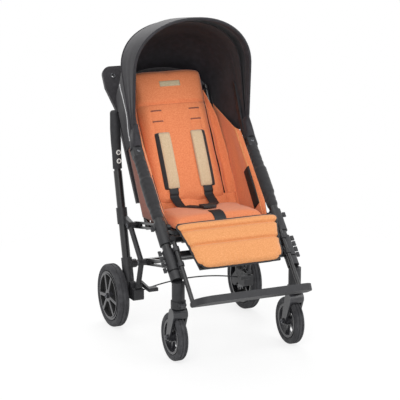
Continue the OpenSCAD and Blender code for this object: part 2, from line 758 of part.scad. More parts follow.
// Folding rails
module rail(s, p, q) color(frame_black) on_side(s) difference() {
    slot_end = rail_slot_share / 2 * (q - p);
    union() {
        side_plate(rail_x, rail_t - 2 * rail_step) link(p, q, rail_w / 2, rail_w / 2);
        for (e = [p, q]) across(rail_x - rail_t / 2, rail_x + rail_t / 2, e, rail_w);
    }
    for (e = [p, q]) across(rail_x - rail_t, rail_x + rail_t, e, pivot_d + 2 * run_gap);
    side_plate(rail_x, rail_t) link((p + q) / 2 + slot_end, (p + q) / 2 - slot_end, rail_slot_w / 2,
        rail_slot_w / 2);
}
module upper_rail(s) rail(s, front_upper, rear_upper);
module lower_rail(s) rail(s, front_lower, rear_lower);

// Rear frame
module rear_tube(s) color(frame_black) on_side(s) difference() {
    union() {
        bar(rear_x, rear_foot, rear_pt(bend_z), rear_tube_d);
        ball(rear_x, rear_pt(bend_z), handle_tube_d);
        bar(rear_x, rear_pt(bend_z), grip_pt(handle_top - grip_end), handle_tube_d);
    }
    bar(rear_x, rear_foot - over * (rear_pt(bend_z) - rear_foot) / norm(rear_pt(bend_z) - rear_foot),
        rear_pt(bend_z - rear_tube_d), rear_tube_d - 2 * tube_wall);
}
grip_from = rear_tube_d * tan(rear_lean) + part_gap;
grip_l = norm(grip_pt(handle_top) - grip_pt(bend_z + grip_from));
grip_radii = [grip_neck_d, grip_neck_d, grip_d, grip_d, grip_end_d] / 2;
module grip(s) color(rubber_grey) on_side(s) {
    along(rear_x, grip_pt(bend_z + grip_from), grip_pt(handle_top)) rotate_extrude() difference() {
        union() {
            polygon(concat([[0, 0]], [for (k = [0:len(grip_shares) - 1]) [grip_radii[k],
                grip_shares[k] * (grip_l - grip_end)]],
                [[0, grip_l - grip_end]]));
            translate([0, grip_l - grip_end]) square([grip_end_d / 2 - grip_end, grip_end]);
            intersection() {
                translate([grip_end_d / 2 - grip_end, grip_l - grip_end]) circle(grip_end);
                translate([0, grip_l - grip_end]) square([grip_end_d, grip_end]);
            }
        }
        translate([0, -over]) square([handle_tube_d / 2 + fit_gap, grip_l - grip_end + over + fit_gap]);
    }
    for (k = grip_bolt_shares) {
        p = grip_pt(bend_z + grip_from + k * (handle_top - bend_z));
        bar(rear_x, p + (grip_neck_d / 2 - over) * grip_out, p + (grip_neck_d / 2 + grip_bolt_t) * grip_out,
            grip_bolt_d);
    }
}

// Bent stay in front of a rear leg, clamped round it above and standing on the brake below
module rear_strut(s) color(plastic_black) on_side(s) difference() {
    union() {
        bar(rear_x, rear_pt(strut_ring_top - strut_ring_h), rear_pt(strut_ring_top), ring_d);
        side_plate(strut_x, strut_arm_t) link(rear_pt(rear_upper[1] + strut_d), rear_upper, strut_d / 2,
            strut_arm_t);
        bar(strut_x, rear_upper, knee, strut_d);
        bar(strut_x, knee, strut_foot, strut_d);
        across(strut_x - strut_d / 2 - boss_proud, strut_x + strut_d / 2 + boss_proud, strut_foot, foot_d);
        for (p = [rear_upper, rear_lower]) {
            across(boss_x, strut_x + strut_d / 2 + boss_proud, p, boss_d);
            across(pin_end_x - pivot_head_t, strut_x, p, pivot_d);
            across(pin_end_x - pivot_head_t, pin_end_x, p, pivot_head_d);
        }
    }
    bar(rear_x, rear_pt(rear_foot[1]), rear_pt(bend_z), rear_tube_d + 2 * fit_gap);
}
module rear_crossbar() color(frame_black) cross_tube(rear_bar, rear_bar_half);

// Moulded foot of a rear leg, with the axle, the cross tube's socket and the brake housing
module axle_bracket(s) color(plastic_black) on_side(s) difference() {
    union() {
        bar(rear_x, rear_pt(bracket_low), rear_pt(bracket_high), ring_d);
        across(rear_x - ring_d / 2 - bar_socket_l, rear_x, rear_bar, bar_socket_d);
        side_plate(bracket_x, bracket_t) link(rear_foot, rear_axle, ring_d / 2, bracket_r);
        side_plate(bracket_x, bracket_t) link(rear_foot, brake_pt, ring_d / 2, bracket_r);
        across(bracket_x, hub_x - part_gap, rear_axle, rear_hub_d / 2);
        across(bracket_x, rear_wheel_x + rear_tyre_w / 2 + hub_proud + part_gap + axle_head_t, rear_axle,
            rear_axle_d);
        across(rear_wheel_x + rear_tyre_w / 2 + hub_proud + part_gap,
            rear_wheel_x + rear_tyre_w / 2 + hub_proud + part_gap + axle_head_t, rear_axle, axle_head_d);
        side_plate(brake_x, brake_size[0]) translate(brake_pt) rounded(brake_size[1], brake_size[2], brake_r);
        side_plate(brake_x + pedal_t, brake_size[0] - 2 * pedal_t) link(brake_pt, pedal_pin, brake_r,
            pedal_boss_d / 2);
        across(pedal_x - pedal_t / 2, brake_x, pedal_pin, pedal_pin_d);
    }
    bar(rear_x, rear_pt(rear_foot[1]) - skin_gap * [-sin(rear_lean), cos(rear_lean)], rear_pt(bend_z),
        rear_tube_d + 2 * fit_gap);
    across(rear_x - ring_d / 2 - bar_socket_l - over, rear_x, rear_bar, cross_tube_d + 2 * fit_gap);
}

// Sheathed cable that ties the two brakes together
module brake_cable() color(frame_black) at(0, cable_pt + [0, cable_rise - cable_r]) rotate([90, 0, 0])
    rotate(90 - asin(cable_half / cable_r)) rotate_extrude(angle = 2 * asin(cable_half / cable_r), $fn = 240)
        translate([cable_r, 0]) circle(d = cable_d, $fn = 16);

module brake_pedal(s) color(plastic_black) on_side(s) difference() {
    union() {
        side_plate(pedal_x, pedal_t) link(pedal_pin, pedal_pin + pedal_reach, pedal_boss_d / 2, pedal_pad_t);
        side_plate(pedal_x + pedal_t / 2 - pedal_pad_w / 2, pedal_pad_w)
            translate(pedal_pin + pedal_reach) rounded(pedal_pad_l, 2 * pedal_pad_t, pedal_pad_t / 2);
    }
    across(pedal_x - pedal_t, pedal_x + pedal_t, pedal_pin, pedal_pin_d + 2 * run_gap);
}

// Wheels. A window is a wedge between two rings, with its tip set out so that the spokes stay parallel
module window(r0, r1, mid, span) intersection() {
    difference() { circle(r1); circle(r0); }
    translate(spoke_w / 2 / sin(span / 2) * [cos(mid), sin(mid)])
        polygon([[0, 0], for (e = [-1, 1]) r1 / cos(span / 2) * [cos(mid + e * span / 2),
            sin(mid + e * span / 2)]]);
}
module wheel_rim(x, p, w, r, hub_d, hub_w, bore) difference() {
    turned(x, p) {
        translate([0, -hub_w / 2]) square([hub_d / 2, hub_w]);
        translate([0, -web_t / 2]) square([r - rim_lip / 2, web_t]);
        translate([r - rim_lip, -w / 2 + over]) square([rim_lip, w - 2 * over]);
    }
    across(x - hub_w, x + hub_w, p, bore);
    side_plate(x, w) translate(p) children();
}
module wheel_tyre(x, p, w, r, h) turned(x, p) difference() {
    translate([r - h / 2, 0]) rounded(h, w, min(tread_r, h / 2 - over));
    for (e = [-1, 1]) translate([r, e * w / 6]) square([2 * tyre_groove_deep, tyre_groove_w], center = true);
}
module rear_rim(s) color(plastic_black) on_side(s) difference() {
    union() {
        wheel_rim(rear_wheel_x, rear_axle, rear_tyre_w, rear_wheel_r - rear_tyre_h - fit_gap, rear_hub_d,
            rear_tyre_w + 2 * hub_proud, rear_axle_d + 2 * run_gap)
            for (k = [0:rear_windows - 1], j = [0, 1]) window(brake_ring_d / 3,
                rear_wheel_r - rear_tyre_h - rim_lip,
                360 / rear_windows * (k + j / 2 + 1 / 4), rear_window_spans[j]);
        across(hub_x, rear_wheel_x - web_t / 2, rear_axle, rear_hub_d);
        difference() {
            across(hub_x, hub_x + brake_ring_t, rear_axle, brake_ring_d);
            for (k = [0:brake_notches - 1]) at(hub_x - over, rear_axle) rotate([360 / brake_notches * k, 0,
                0])
                translate([0, -brake_notch_w / 2, brake_ring_d / 2 - brake_notch_w])
                    cube([brake_ring_t + 2 * over, brake_notch_w, brake_ring_d]);
        }
    }
    across(hub_x - over, rear_wheel_x + rear_tyre_w, rear_axle, rear_axle_d + 2 * run_gap);
}
module rear_tyre(s) color(rubber_grey) on_side(s) wheel_tyre(rear_wheel_x, rear_axle, rear_tyre_w,
    rear_wheel_r, rear_tyre_h);
module front_rim(s) color(plastic_black) on_side(s) wheel_rim(front_x, front_axle, front_tyre_w,
    front_wheel_r - front_tyre_h - fit_gap, front_hub_d, 2 * arm_in - 2 * part_gap,
        front_axle_d + 2 * run_gap)
        for (k = [0:front_windows - 1]) window(front_hub_d / 2 + over, front_wheel_r - front_tyre_h - rim_lip,
            360 / front_windows * k, 360 / front_windows);
module front_tyre(s) color(rubber_grey) on_side(s) wheel_tyre(front_x, front_axle, front_tyre_w,
    front_wheel_r, front_tyre_h);

// Casters
module caster_fork(s) color(plastic_black) on_side(s) {
    crown = [caster_f, crown_z];
    side_plate(front_x, 2 * arm_out) difference() {
        link(crown, front_axle, crown_r, arm_end_r);
        translate(front_axle) circle(front_wheel_r + fork_gap, $fn = 96);
    }
    for (e = [-1, 1]) side_plate(front_x + e * (arm_in + arm_t / 2), arm_t) link(crown, front_axle,
        crown_r, arm_end_r);
    at(front_x, crown) cylinder(h = stem_top - crown_z, d = stem_d);
    across(front_x - arm_out - axle_head_t, front_x + arm_out + axle_head_t, front_axle, front_axle_d);
    for (e = [-1, 1]) across(front_x + e * (arm_out + axle_head_t / 2) - axle_head_t / 2,
        front_x + e * (arm_out + axle_head_t / 2) + axle_head_t / 2, front_axle, axle_head_d);
}
module swivel_lock(s) color(rubber_grey) on_side(s) difference() {
    union() {
        side_plate(front_x, lock_w - 2 * part_gap) link(lock_pt, lock_pt - [0, lock_l - lock_t / 2],
            lock_t / 2, lock_t / 2);
        across(front_x - lock_w / 2, front_x + lock_w / 2, lock_pt, lock_boss_d);
    }
    across(front_x - lock_w, front_x + lock_w, lock_pt, lock_pin_d + 2 * run_gap);
}

// Footrest
module foot_hanger() color(frame_black) for (s = [-1, 1]) on_side(s) {
    bar(hanger_x, foot_hinge, hanger_pt(hanger_top), hanger_d);
    across(hanger_x - hanger_d / 2 - boss_proud, hanger_x + hanger_d / 2 + boss_proud, foot_hinge, hinge_d);
    across(hanger_x - hanger_d / 2 - hinge_l, hanger_x, foot_hinge, hinge_pin_d);
}
// The plate is drawn flat: y runs forward from its hinge
module on_foot() at(0, foot_hinge) rotate([-foot_tilt, 0, 0]) mirror([0, 1, 0]) children();
foot_shut = 90 + front_lean - foot_tilt - foot_fold;
foot_back = (hanger_d / 2 + part_gap + footplate_t / 2 * cos(foot_shut)) / sin(foot_shut);
ear_x = hanger_x - hanger_d / 2 - boss_proud - part_gap - foot_ear_t / 2;
module footplate() color(plastic_black) {
    on_foot() translate([0, 0, -footplate_t / 2]) difference() {
        union() {
            linear_extrude(foot_floor_t) foot_area(0);
            linear_extrude(footplate_t) difference() { foot_area(0); foot_area(foot_rim_w); }
            translate([-ear_x, foot_back + over, over]) cube([2 * ear_x, foot_rim_w - 2 * over,
                footplate_t - 2 * over]);
            for (k = [0:foot_ribs - 1])
                translate([(k - (foot_ribs - 1) / 2) * footplate_w / (foot_ribs + 2),
                footplate_l / 2 + foot_back / 2, 0])
                translate([-foot_rib_w / 2, -footplate_l / 3, 0]) cube([foot_rib_w, footplate_l * 2 / 3,
                    foot_floor_t + foot_rib_h]);
        }
    }
    for (s = [-1, 1]) on_side(s) difference() {
        on_foot_plate(ear_x, foot_ear_t) link([0, 0], [foot_back + foot_rim_w / 2, 0], hinge_d / 2,
            foot_ear_r);
        across(ear_x - foot_ear_t, ear_x + foot_ear_t, foot_hinge, hinge_pin_d + 2 * run_gap);
    }
}
module foot_area(inset) difference() {
    union() {
        translate([-footplate_w / 2 + inset, foot_back + inset]) square([footplate_w - 2 * inset,
            footplate_l - foot_corner_r - foot_back - inset]);
        translate([-footplate_w / 2 + foot_corner_r, footplate_l - foot_corner_r])
            square([footplate_w - 2 * foot_corner_r, foot_corner_r - inset]);
        for (s = [-1, 1]) intersection() {
            translate([s * (footplate_w / 2 - foot_corner_r), footplate_l - foot_corner_r])
                circle(foot_corner_r - inset);
            translate([-footplate_w / 2, footplate_l - foot_corner_r]) square([footplate_w, foot_corner_r]);
        }
    }
}
module on_foot_plate(x, t) at(0, foot_hinge) rotate([-foot_tilt, 0, 0]) side_plate(x, t) children();

placed() front_tube(1);  // front_tube_left
placed() front_tube(-1);  // front_tube_right
placed() caster_housing(1);  // caster_housing_left
placed() caster_housing(-1);  // caster_housing_right
placed() leg_clamp(1);  // leg_clamp_left
placed() leg_clamp(-1);  // leg_clamp_right
placed() seat_crossbar();
placed() lower_crossbar();
placed() seat_rail(1);  // seat_rail_left
placed() seat_rail(-1);  // seat_rail_right
placed() seat_board();
placed() calf_board();
placed() seat_cushion();
placed() calf_pad();
placed() tube_sleeve(1);  // tube_sleeve_left
placed() tube_sleeve(-1);  // tube_sleeve_right
placed() side_panel(1);  // side_panel_left
placed() side_panel(-1);  // side_panel_right
placed() lap_belt();
placed() crotch_strap();
placed() hood_mount(1);  // hood_mount_left
placed() hood_mount(-1);  // hood_mount_right
placed() hood_rear();
placed() hood_front();
placed() back_frame();
placed() back_shell();
placed() back_pad();
placed() shoulder_pads();
placed() shoulder_straps();
placed() upper_rail(1);  // upper_rail_left
placed() upper_rail(-1);  // upper_rail_right
placed() lower_rail(1);  // lower_rail_left
placed() lower_rail(-1);  // lower_rail_right
placed() rear_tube(1);  // rear_tube_left
placed() rear_tube(-1);  // rear_tube_right
placed() grip(1);  // grip_left
placed() grip(-1);  // grip_right
placed() rear_strut(1);  // rear_strut_left
placed() rear_strut(-1);  // rear_strut_right
placed() rear_crossbar();
placed() axle_bracket(1);  // axle_bracket_left
placed() axle_bracket(-1);  // axle_bracket_right
placed() brake_cable();
placed() brake_pedal(1);  // brake_pedal_left
placed() brake_pedal(-1);  // brake_pedal_right
placed() rear_rim(1);  // rear_rim_left
placed() rear_rim(-1);  // rear_rim_right
placed() rear_tyre(1);  // rear_tyre_left
placed() rear_tyre(-1);  // rear_tyre_right
placed() caster_fork(1);  // caster_fork_left
placed() caster_fork(-1);  // caster_fork_right
placed() swivel_lock(1);  // swivel_lock_left
placed() swivel_lock(-1);  // swivel_lock_right
placed() front_rim(1);  // front_rim_left
placed() front_rim(-1);  // front_rim_right
placed() front_tyre(1);  // front_tyre_left
placed() front_tyre(-1);  // front_tyre_right
placed() foot_hanger();
placed() footplate();
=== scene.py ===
# A folding buggy for postural support, dressed on its CAD frame in the order that it is put together.
import json
import math

import bmesh
import bpy
from mathutils import Matrix, Vector


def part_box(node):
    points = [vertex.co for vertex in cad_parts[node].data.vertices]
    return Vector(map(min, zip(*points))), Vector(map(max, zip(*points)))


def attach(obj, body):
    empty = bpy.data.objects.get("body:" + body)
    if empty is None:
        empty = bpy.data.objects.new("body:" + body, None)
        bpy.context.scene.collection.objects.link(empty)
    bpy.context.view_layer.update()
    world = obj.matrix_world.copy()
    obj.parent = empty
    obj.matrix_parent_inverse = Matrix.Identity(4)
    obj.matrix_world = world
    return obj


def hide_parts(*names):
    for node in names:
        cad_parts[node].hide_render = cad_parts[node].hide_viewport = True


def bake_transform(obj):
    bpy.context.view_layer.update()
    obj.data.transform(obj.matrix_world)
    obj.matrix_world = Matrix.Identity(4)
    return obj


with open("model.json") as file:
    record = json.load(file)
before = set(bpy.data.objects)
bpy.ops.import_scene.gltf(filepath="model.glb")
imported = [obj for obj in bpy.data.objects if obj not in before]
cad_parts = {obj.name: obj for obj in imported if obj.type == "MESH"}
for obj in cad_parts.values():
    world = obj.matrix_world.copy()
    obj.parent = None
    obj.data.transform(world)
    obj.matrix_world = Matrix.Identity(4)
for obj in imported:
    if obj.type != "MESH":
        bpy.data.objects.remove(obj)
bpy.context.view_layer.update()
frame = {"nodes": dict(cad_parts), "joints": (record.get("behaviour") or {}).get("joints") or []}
nodes = frame["nodes"]
joints = {joint["name"]: joint for joint in frame["joints"]}
mm = 0.001
sides = ((1, "left"), (-1, "right"))


# Frame tubes
# Straight and bent steel tubes and flat folding rails, welded or pinned, that carry the seat.
# They are powder coated in gloss black: a thick even coat with a faint orange peel.
def linear(code):
    """An sRGB hex colour as linear RGBA."""
    shares = [int(code[k:k + 2], 16) / 255 for k in (0, 2, 4)]
    return [c / 12.92 if c <= 0.04045 else ((c + 0.055) / 1.055) ** 2.4 for c in shares] + [1.0]


def add_node(material, kind, settings, links):
    """Adds a shader node with its settings and with links into its sockets."""
    node = material.node_tree.nodes.new(kind)
    for name, value in settings.items():
        if name in node.inputs.keys():
            node.inputs[name].default_value = value
        else:
            setattr(node, name, value)
    for name, output in links.items():
        material.node_tree.links.new(output, node.inputs[name])
    return node


def new_material(name, roughness, **sockets):
    """A material, its shader and the object coordinates that its patterns lie on."""
    material = bpy.data.materials.new(name)
    material.use_nodes = True
    shader = material.node_tree.nodes["Principled BSDF"]
    shader.inputs["Roughness"].default_value = roughness
    for socket, value in sockets.items():
        shader.inputs[socket.replace("_", " ")].default_value = value
    place = add_node(material, "ShaderNodeTexCoord", {}, {}).outputs["Object"]
    return material, shader, place


def ramp(material, factor, colours):
    """Blends from one colour to the next as the factor goes through its middle range."""
    node = add_node(material, "ShaderNodeValToRGB", {}, {"Fac": factor})
    low, high = 0.3, 0.7
    stops = node.color_ramp.elements
    stops[0].position, stops[1].position = low, high
    stops[0].color, stops[1].color = linear(colours[0]), linear(colours[-1])
    for k, colour in enumerate(colours[1:-1]):
        stop = stops.new(low + (high - low) * (k + 1) / (len(colours) - 1))
        stop.color = linear(colour)
    return node.outputs["Color"]


def grain(material, place, size, detail):
    """Noise whose blotches are about size across, in metres."""
    settings = {"Scale": 1 / size, "Detail": detail}
    return add_node(material, "ShaderNodeTexNoise", settings, {"Vector": place}).outputs["Fac"]


def relief(material, shader, height, depth, strength):
    """Raises the surface by the height pattern, depth being in metres."""
    bump = add_node(material, "ShaderNodeBump", {"Strength": strength, "Distance": depth}, {"Height": height})
    material.node_tree.links.new(bump.outputs["Normal"], shader.inputs["Normal"])


def wear(material, pieces):
    """Puts the material on all of each piece."""
    for piece in pieces:
        piece.data.materials.clear()
        piece.data.materials.append(material)


def both(*names):
    """The left and right CAD nodes of those names."""
    return [nodes[f"{name}_{side}"] for name in names for side in ("left", "right")]


def tinted(name, roughness, colours, size, detail=2.0, bump=None, bump_detail=2.0, **sockets):
    """A material whose colours run into each other in blotches about size across.

    bump gives the width, depth and strength of a raised grain.
    """
    material, shader, place = new_material(name, roughness, **sockets)
    tint = ramp(material, grain(material, place, size, detail), colours)
    material.node_tree.links.new(tint, shader.inputs["Base Color"])
    if bump:
        relief(material, shader, grain(material, place, bump[0], bump_detail), *bump[1:])
    return material, shader, place


# Powder coat: the orange peel is 2 mm across on the real coat and drawn at 5 mm so that it shows.
powder_coat = tinted("gloss black powder coat", 0.3, ["101012", "1a1a1c"], 60 * mm,
                     bump=(5 * mm, 0.1 * mm, 0.25), Coat_Weight=0.35, Coat_Roughness=0.12)[0]
wear(powder_coat, both("front_tube", "seat_rail", "upper_rail", "lower_rail", "rear_tube"))
middle_tubes = ("seat_crossbar", "lower_crossbar", "back_frame", "rear_crossbar", "foot_hanger")
wear(powder_coat, [nodes[name] for name in middle_tubes])


# Moulded fittings
# Clamps, sockets, stays and hood pivots in glass-filled nylon, bolted round the tubes.
# They come out of the tool with a fine spark-eroded grain, and scuff to grey where they rub.
nylon = tinted("moulded black nylon", 0.52, ["18181a", "1f1f22", "29292c"], 30 * mm, 4.0,
               bump=(2 * mm, 0.15 * mm, 0.35))[0]
wear(nylon, both("caster_housing", "leg_clamp", "hood_mount", "rear_strut", "axle_bracket", "brake_pedal"))
wear(nylon, [nodes["seat_board"], nodes["calf_board"]])


# Casters and wheels
# Broad nylon forks turn on steel stems, and spoked nylon rims carry solid grey-black tyres.
# The rims are glossier than the frame's fittings, so the edges of their spokes catch the light.
rim_nylon = tinted("polished black nylon", 0.34, ["222225", "303034"], 40 * mm,
                   bump=(4 * mm, 0.1 * mm, 0.2), Coat_Weight=0.2)[0]
wear(rim_nylon, both("rear_rim", "front_rim", "caster_fork", "swivel_lock"))

# Tyres: foamed polyurethane, matt, with dust in the tread.
tyre_foam = tinted("foamed polyurethane tyre", 0.85, ["29292c", "353538", "444446"], 25 * mm, 5.0,
                   bump=(3 * mm, 0.3 * mm, 0.4), bump_detail=4.0)[0]
wear(tyre_foam, both("rear_tyre", "front_tyre"))


# Bolts
# Domed steel heads with a hexagon recess close the pivots and the wheel axles.
# They are zinc plated and passivated black, with a soft metal shine.
zinc = tinted("black zinc plated steel", 0.38, ["55565a", "6d6e72"], 6 * mm, Metallic=1.0)[0]


def edit(piece):
    """Opens one piece alone in edit mode, with nothing selected."""
    bpy.ops.object.select_all(action="DESELECT")
    bpy.context.view_layer.objects.active = piece
    piece.select_set(True)
    bpy.ops.object.mode_set(mode="EDIT")
    bpy.ops.mesh.select_all(action="DESELECT")
    return bmesh.from_edit_mesh(piece.data)


def close():
    """Leaves edit mode, sets the active piece at the origin and smooths all but its sharp edges."""
    if bpy.context.mode == "EDIT_MESH":
        bpy.ops.object.mode_set(mode="OBJECT")
    bpy.ops.object.transform_apply(location=True, rotation=True, scale=True)
    bpy.ops.object.shade_smooth_by_angle(angle=math.radians(35))


def bolt(name, centre, out, radius, body):
    """A domed bolt head at centre, facing along out."""
    bpy.ops.mesh.primitive_cylinder_add(vertices=24, radius=radius, depth=0.5 * radius, location=centre,
                                        rotation=out.to_track_quat("Z", "Y").to_euler())
    head = bpy.context.object
    head.name = name
    mesh = edit(head)
    for face in mesh.faces:
        face.select = face.normal.z > 0.9
    bpy.ops.mesh.inset(thickness=0.4 * radius)
    bpy.ops.transform.translate(value=out * 0.25 * radius)
    bpy.ops.mesh.inset(thickness=0.2 * radius)
    bpy.ops.mesh.extrude_region_move(TRANSFORM_OT_translate={"value": -out * 0.35 * radius})
    close()
    wear(zinc, [head])
    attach(head, body)


def pivot(joint):
    """The point that a joint turns about."""
    return Vector(joints[joint]["pos_m"])


strut_face, pin_r, axle_pin_r = 238.5 * mm, 8 * mm, 8.5 * mm
knee = pivot("fold_rear") + pivot("fold_lower") - pivot("fold")
for side, word in sides:
    outward = Vector((side, 0, 0))
    for name, point in (("stay_bolt", pivot("fold_rear")), ("knee_bolt", knee)):
        bolt(f"{name}_{word}", (side * strut_face, point.y, point.z), outward, pin_r, "rear_frame")
    axle = pivot(f"rear_wheel_spin_{word}")
    axle_face = max(abs(corner.x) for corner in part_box(f"axle_bracket_{word}"))
    bolt(f"axle_bolt_{word}", (side * axle_face, axle.y, axle.z), outward, axle_pin_r, "rear_frame")
    caster = pivot(f"front_wheel_spin_{word}")
    for fork_side in (1, -1):
        low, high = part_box(f"caster_fork_{word}")
        face = high.x if fork_side > 0 else low.x
        bolt(f"fork_bolt_{word}_{'out' if fork_side == side else 'in'}", (face, caster.y, caster.z),
             Vector((fork_side, 0, 0)), pin_r, f"caster_{word}")


# Rear wheel faces
# Six moulded ribs in uneven pairs join the hub of each rear rim to its edge, close to the outer face.
# Between them the moulding drops back to a closed web, and its sunk faces are painted near black as painted
# shade.
# Painted shade: the pocket floors get a near-black colour, far darker than the rim nylon, for the shade in the
# recesses.
pocket_shade_nylon = tinted("nylon web darkened as painted pocket shade", 0.85, ["070708", "0d0d0e"], 20 * mm)[0]
face_radii = [r * mm for r in (7, 14, 19, 20.5, 32, 44, 56, 68, 79.5, 81, 85.5)]
pocket_rows = range(3, len(face_radii) - 2)
pockets, pocket_spans, first_rib = 6, [math.radians(angle) for angle in (44, 76)], math.radians(68)
pocket_steps, sunk_steps = 8, range(2, 7)
rib_half, rib_slope, rib_share, foot_share = 6 * mm, 1.5 * mm, 0.3, 0.36
pocket_depth, face_dish, face_t, face_clear = 14 * mm, 2 * mm, 1 * mm, 0.6 * mm


def sheet_piece(name, columns, rows, shape):
    """A grid whose points go where shape(u, v) says, u and v running from 0 to 1."""
    bpy.ops.mesh.primitive_grid_add(x_subdivisions=columns, y_subdivisions=rows, size=1)
    piece = bpy.context.object
    piece.name = name
    for vertex in piece.data.vertices:
        vertex.co = shape(vertex.co.x + 0.5, vertex.co.y + 0.5)
    bpy.ops.object.shade_smooth()
    bpy.context.view_layer.update()
    return piece


def thicken(piece, thickness, offset, levels=0):
    """Gives a sheet its thickness, and rounds it off by subdividing."""
    solid = piece.modifiers.new("Solidify", "SOLIDIFY")
    solid.thickness, solid.offset = thickness, offset
    bpy.ops.object.modifier_apply(modifier=solid.name)
    if levels:
        fine = piece.modifiers.new("Subdivision", "SUBSURF")
        fine.levels = fine.render_levels = levels
        bpy.ops.object.modifier_apply(modifier=fine.name)
    bpy.ops.object.shade_smooth()
    bpy.context.view_layer.update()


def face_out(piece, merge=0.0):
    """Merges points closer than merge and turns the faces of a shell outwards."""
    edit(piece)
    bpy.ops.mesh.select_all(action="SELECT")
    if merge:
        bpy.ops.mesh.remove_doubles(threshold=merge)
    bpy.ops.mesh.normals_make_consistent(inside=False)
    bpy.ops.object.mode_set(mode="OBJECT")


def bevel_edges(piece, width, segments, angle=30):
    """Rounds the edges that are sharper than angle."""
    bevel = piece.modifiers.new("Bevel", "BEVEL")
    bevel.width, bevel.segments = width, segments
    bevel.limit_method, bevel.angle_limit = "ANGLE", math.radians(angle)
    bpy.ops.object.modifier_apply(modifier=bevel.name)


for side, word in sides:
    wheel = pivot(f"rear_wheel_spin_{word}")
    hub_face = max(abs(corner.x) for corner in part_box(f"rear_rim_{word}")) + face_clear

    def wheel_face(u, v):
        row = round(v * (len(face_radii) - 1))
        radius = face_radii[row]
        sector, stage = divmod(round(u * pockets * pocket_steps), pocket_steps)
        span = pocket_spans[sector % 2]
        rib = min(math.asin(min(rib_half / radius, 1)), rib_share * span)
        foot = min(math.asin(min((rib_half + rib_slope) / radius, 1)), foot_share * span)
        quarter = (span - 2 * foot) / 4
        turns = (0, rib, foot, foot + quarter, span / 2, span - foot - quarter, span - foot, span - rib)
        turn = sum(pocket_spans[k % 2] for k in range(sector)) + first_rib + turns[stage]
        sunk = stage in sunk_steps and row in pocket_rows
        reach = hub_face - face_dish * radius / face_radii[-1] - (pocket_depth if sunk else 0)
        return Vector((side * reach, wheel.y + radius * math.cos(turn), wheel.z + radius * math.sin(turn)))

    ribs = sheet_piece(f"rear_wheel_ribs_{word}", pockets * pocket_steps, len(face_radii) - 1, wheel_face)
    face_out(ribs, 0.01 * mm)
    if sum(face.normal.x * side for face in ribs.data.polygons) < 0:
        edit(ribs)
        bpy.ops.mesh.select_all(action="SELECT")
        bpy.ops.mesh.flip_normals()
        bpy.ops.object.mode_set(mode="OBJECT")
    thicken(ribs, face_t, -1)
    bevel_edges(ribs, 0.6 * mm, 2, 50)
    close()
    wear(rim_nylon, [ribs])
    ribs.data.materials.append(pocket_shade_nylon)
    # Faces sunk deeper than a quarter of the pocket take the painted pocket shade.
    for face in ribs.data.polygons:
        face.material_index = int(abs(face.center.x) < hub_face - face_dish - pocket_depth / 4)
    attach(ribs, f"rear_wheel_{word}")


# Footplate
# A dished tray moulded in ribbed polypropylene, hinged on the ends of the two hanger tubes.
# Its top has a fine pebble grain that keeps shoes from slipping.
polypropylene, shader, place = tinted("pebble grain polypropylene", 0.6, ["1d1d20", "26262a"], 35 * mm, 4.0)
pebbles = add_node(polypropylene, "ShaderNodeTexVoronoi", {"Scale": 1 / (4 * mm)}, {"Vector": place})
relief(polypropylene, shader, pebbles.outputs["Distance"], 0.4 * mm, 0.5)
wear(polypropylene, [nodes["footplate"]])


# Push handles
# Moulded rubber grips are pressed over the tops of the rear tubes.
# Each is held by two bolts on pale nylon washers, low on its outer side.
grip_rubber = tinted("moulded grip rubber", 0.72, ["1e1e21", "2a2a2d"], 20 * mm, 3.0,
                     bump=(2.5 * mm, 0.3 * mm, 0.5))[0]
wear(grip_rubber, both("grip"))
wear(grip_rubber, [nodes["brake_cable"]])

washer_nylon = tinted("natural nylon", 0.45, ["d8d6d0", "ebe9e4"], 10 * mm)[0]


def ring(name, centre, turn, radius, wire_r, material, body):
    """A ring of round wire, turned from lying flat."""
    bpy.ops.mesh.primitive_torus_add(location=centre, rotation=turn, major_radius=radius, minor_radius=wire_r,
                                     major_segments=32, minor_segments=10)
    piece = bpy.context.object
    piece.name = name
    close()
    wear(material, [piece])
    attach(piece, body)


grip_lean = math.radians(7.2)
grip_out = Vector((0, -math.cos(grip_lean), math.sin(grip_lean)))
grip_foot_z, grip_neck_r, grip_bolt_t, grip_bolt_r = 596.4 * mm, 17.5 * mm, 3 * mm, 5 * mm
rear_tube_r, grip_bolt_rises = 13 * mm, (29.5 * mm, 61.3 * mm)
washer_r, washer_wire_r = 7.5 * mm, 2 * mm
for side, word in sides:
    low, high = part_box(f"rear_tube_{word}")
    tube_end = Vector(((low.x + high.x) / 2, high.y - rear_tube_r * math.cos(grip_lean), high.z))
    for k, rise in enumerate(grip_bolt_rises):
        z = grip_foot_z + rise
        centre = tube_end + Vector((0, (z - high.z) * math.tan(grip_lean), z - high.z))
        centre += grip_out * (grip_neck_r + grip_bolt_t)
        bpy.ops.object.select_all(action="DESELECT")
        ring(f"grip_washer_{word}_{k}", centre, grip_out.to_track_quat("Z", "Y").to_euler(), washer_r,
             washer_wire_r, washer_nylon, "rear_frame")
        bolt(f"grip_bolt_{word}_{k}", centre, grip_out, grip_bolt_r, "rear_frame")


# Seat cushion
# Foam under a woven melange cover in warm orange, laid on the seat board.
# The cover pulls in along its sides and crowns in the middle.
def melange(name, colours):
    """Two-tone yarn in a plain weave: 1 mm threads, drawn at 4 mm so that the weave shows."""
    thread = 4 * mm
    cloth, shader, place = tinted(name, 0.88, colours, thread, 6.0, Sheen_Weight=0.25, Sheen_Roughness=0.4)
    heights = []
    for direction in ("X", "Z"):
        settings = {"Scale": math.pi / (10 * thread), "Distortion": 1.5, "bands_direction": direction}
        heights.append(add_node(cloth, "ShaderNodeTexWave", settings, {"Vector": place}).outputs["Fac"])
    weave = add_node(cloth, "ShaderNodeMath", {"operation": "MULTIPLY"}, {})
    for k, height in enumerate(heights):
        cloth.node_tree.links.new(height, weave.inputs[k])
    relief(cloth, shader, weave.outputs["Value"], 0.5 * mm, 0.35)
    return cloth


